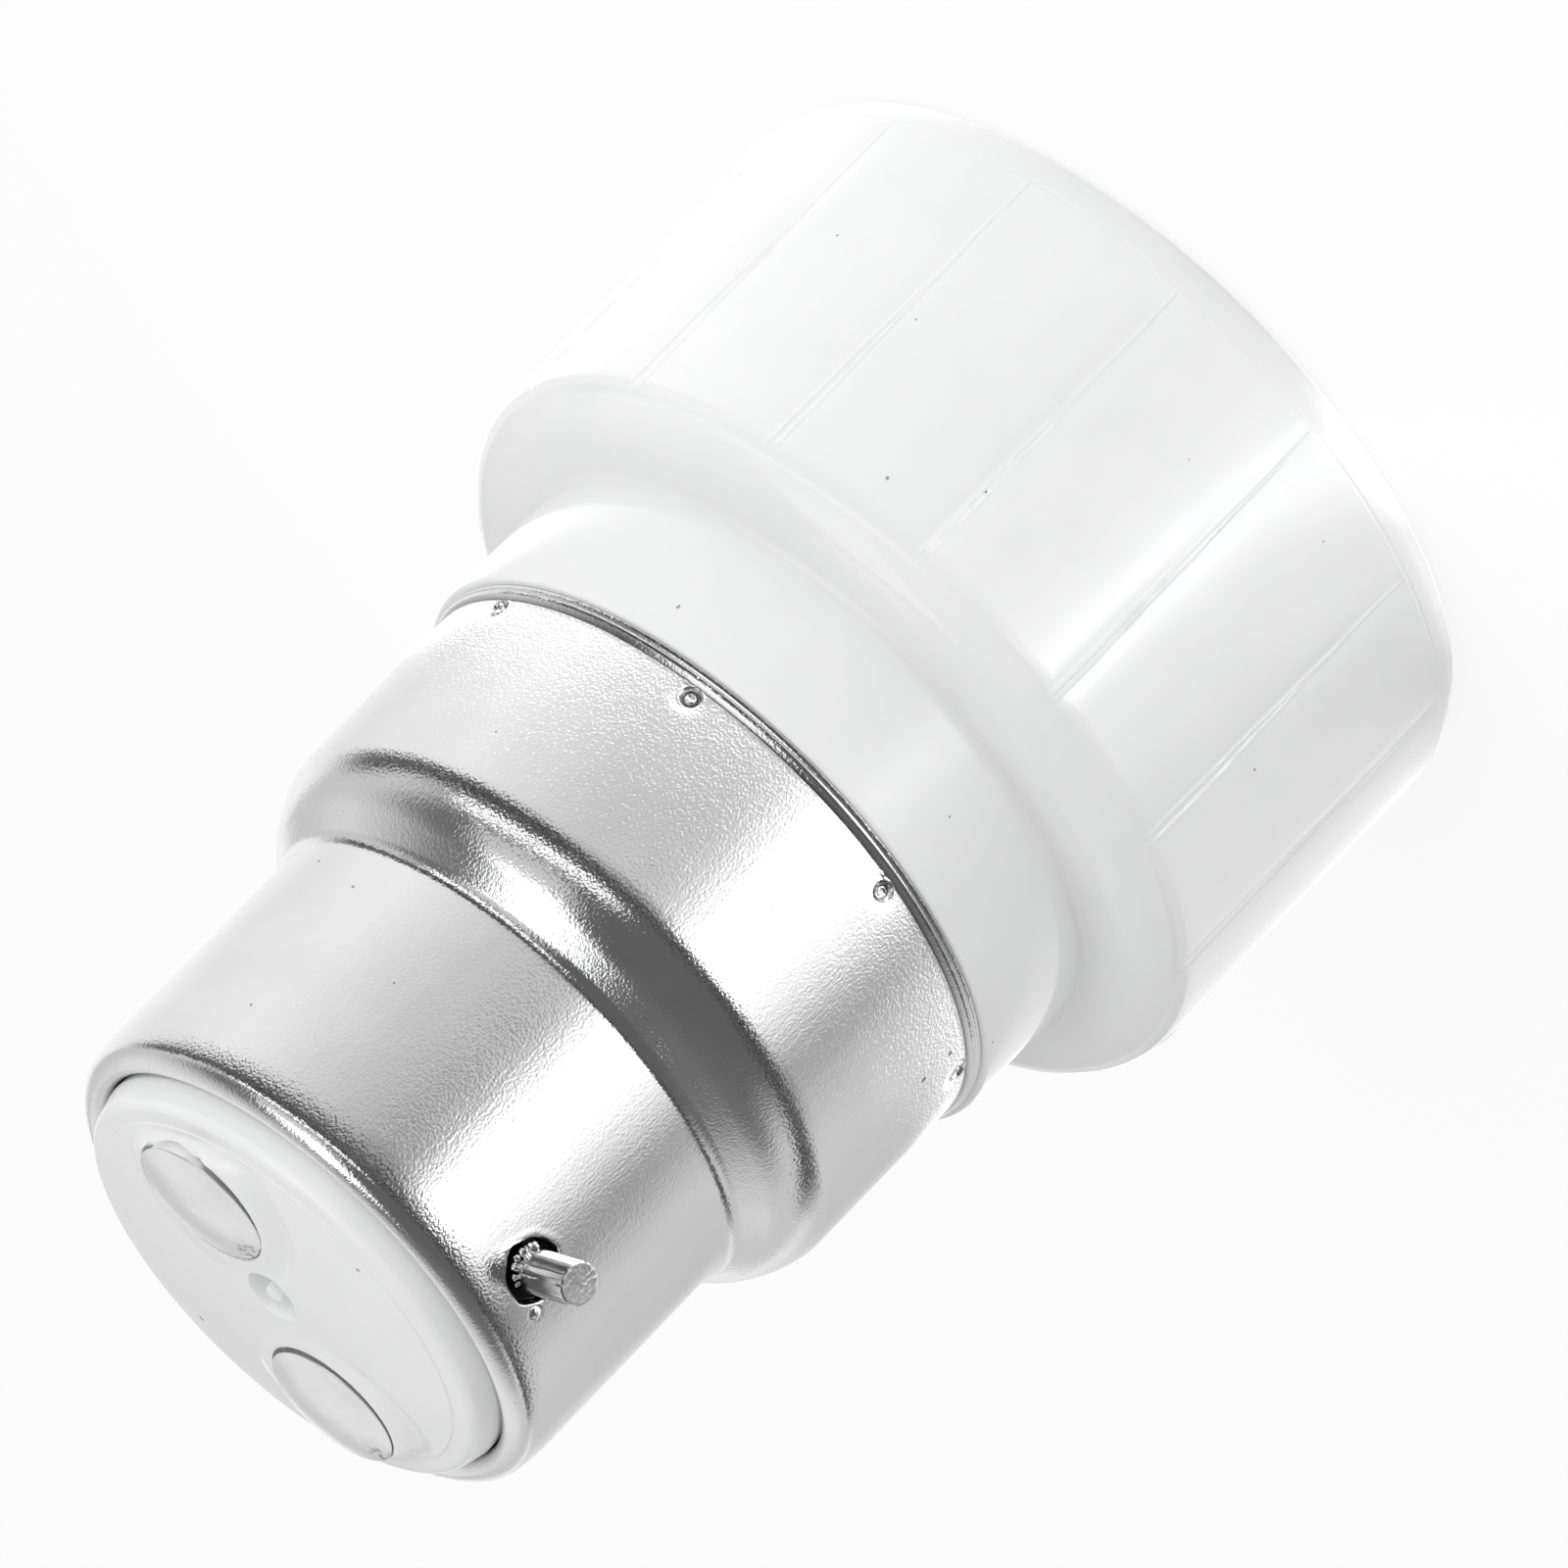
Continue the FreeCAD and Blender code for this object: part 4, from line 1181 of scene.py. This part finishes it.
def makeWorld():
    # soft light all round; what metal mirrors is white behind the object and darker in front of it
    world = bpy.data.worlds.new("tent")
    bpy.context.scene.world = world
    world.use_nodes = True
    tree = world.node_tree
    soft = tree.nodes["Background"]
    soft.inputs["Color"].default_value = (1, 1, 1, 1)
    soft.inputs["Strength"].default_value = stageSet["worldLevel"]
    plain = tree.nodes.new("ShaderNodeBackground")
    plain.inputs["Color"].default_value = (1, 1, 1, 1)
    coords = tree.nodes.new("ShaderNodeTexCoord")
    split = tree.nodes.new("ShaderNodeSeparateXYZ")
    tree.links.new(towardCamera(tree, coords.outputs["Generated"]), split.inputs["Vector"])
    ahead, height = split.outputs["X"], split.outputs["Z"]
    levels = rampNode(tree, rangeNode(tree, ahead, -1, 1, 0, 1), worldStops)
    besideLow = mathNode(tree, "MULTIPLY", rangeNode(tree, ahead, 0.35, -0.05, 0, 1),
                         rangeNode(tree, height, 0.45, 0.25, 0, 1))
    levels = mixValue(tree, besideLow, levels, stageSet["besideLevel"])
    low = rampNode(tree, rangeNode(tree, height, -0.5, 0.5, 0, 1), horizonStops)
    horizon = mathNode(tree, "MULTIPLY", low, rangeNode(tree, ahead, -0.65, -0.45, 0, 1))
    mirrored = tree.nodes.new("ShaderNodeBackground")
    tree.links.new(mixValue(tree, horizon, levels, stageSet["horizonLevel"]), mirrored.inputs["Strength"])
    lit = mixShader(tree, lightPathNode(tree, "Is Glossy Ray"), soft.outputs["Background"],
                    mirrored.outputs["Background"])
    seen = mixShader(tree, lightPathNode(tree, "Is Camera Ray"), lit, plain.outputs["Background"])
    tree.links.new(seen, tree.nodes["World Output"].inputs["Surface"])


def makeCamera():
    data = bpy.data.cameras.new("camera")
    data.lens = stageSet["lens"]
    data.sensor_width = 36
    data.clip_start = 0.01
    data.clip_end = 10
    camera = bpy.data.objects.new("camera", data)
    azimuth = math.radians(stageSet["cameraAzimuth"])
    back = directionOf(azimuth, math.radians(stageSet["cameraElevation"]))
    roll = math.radians(stageSet["cameraRoll"])
    level = Vector((-math.sin(azimuth), math.cos(azimuth), 0))
    right = level * math.cos(roll) + back.cross(level) * math.sin(roll)
    upward = back.cross(right)
    camera.matrix_world = Matrix((right, upward, back)).transposed().to_4x4()
    camera.location = stageSet["cameraPlace"]
    bpy.context.scene.collection.objects.link(camera)
    bpy.context.scene.camera = camera


makeFloor()
makeReflectorCard()
makeWorld()
for name, values in lampTable.items():
    makeLamp(name, *values)
makeCamera()
bpy.context.scene.view_settings.view_transform = "Standard"
print("stage ready")
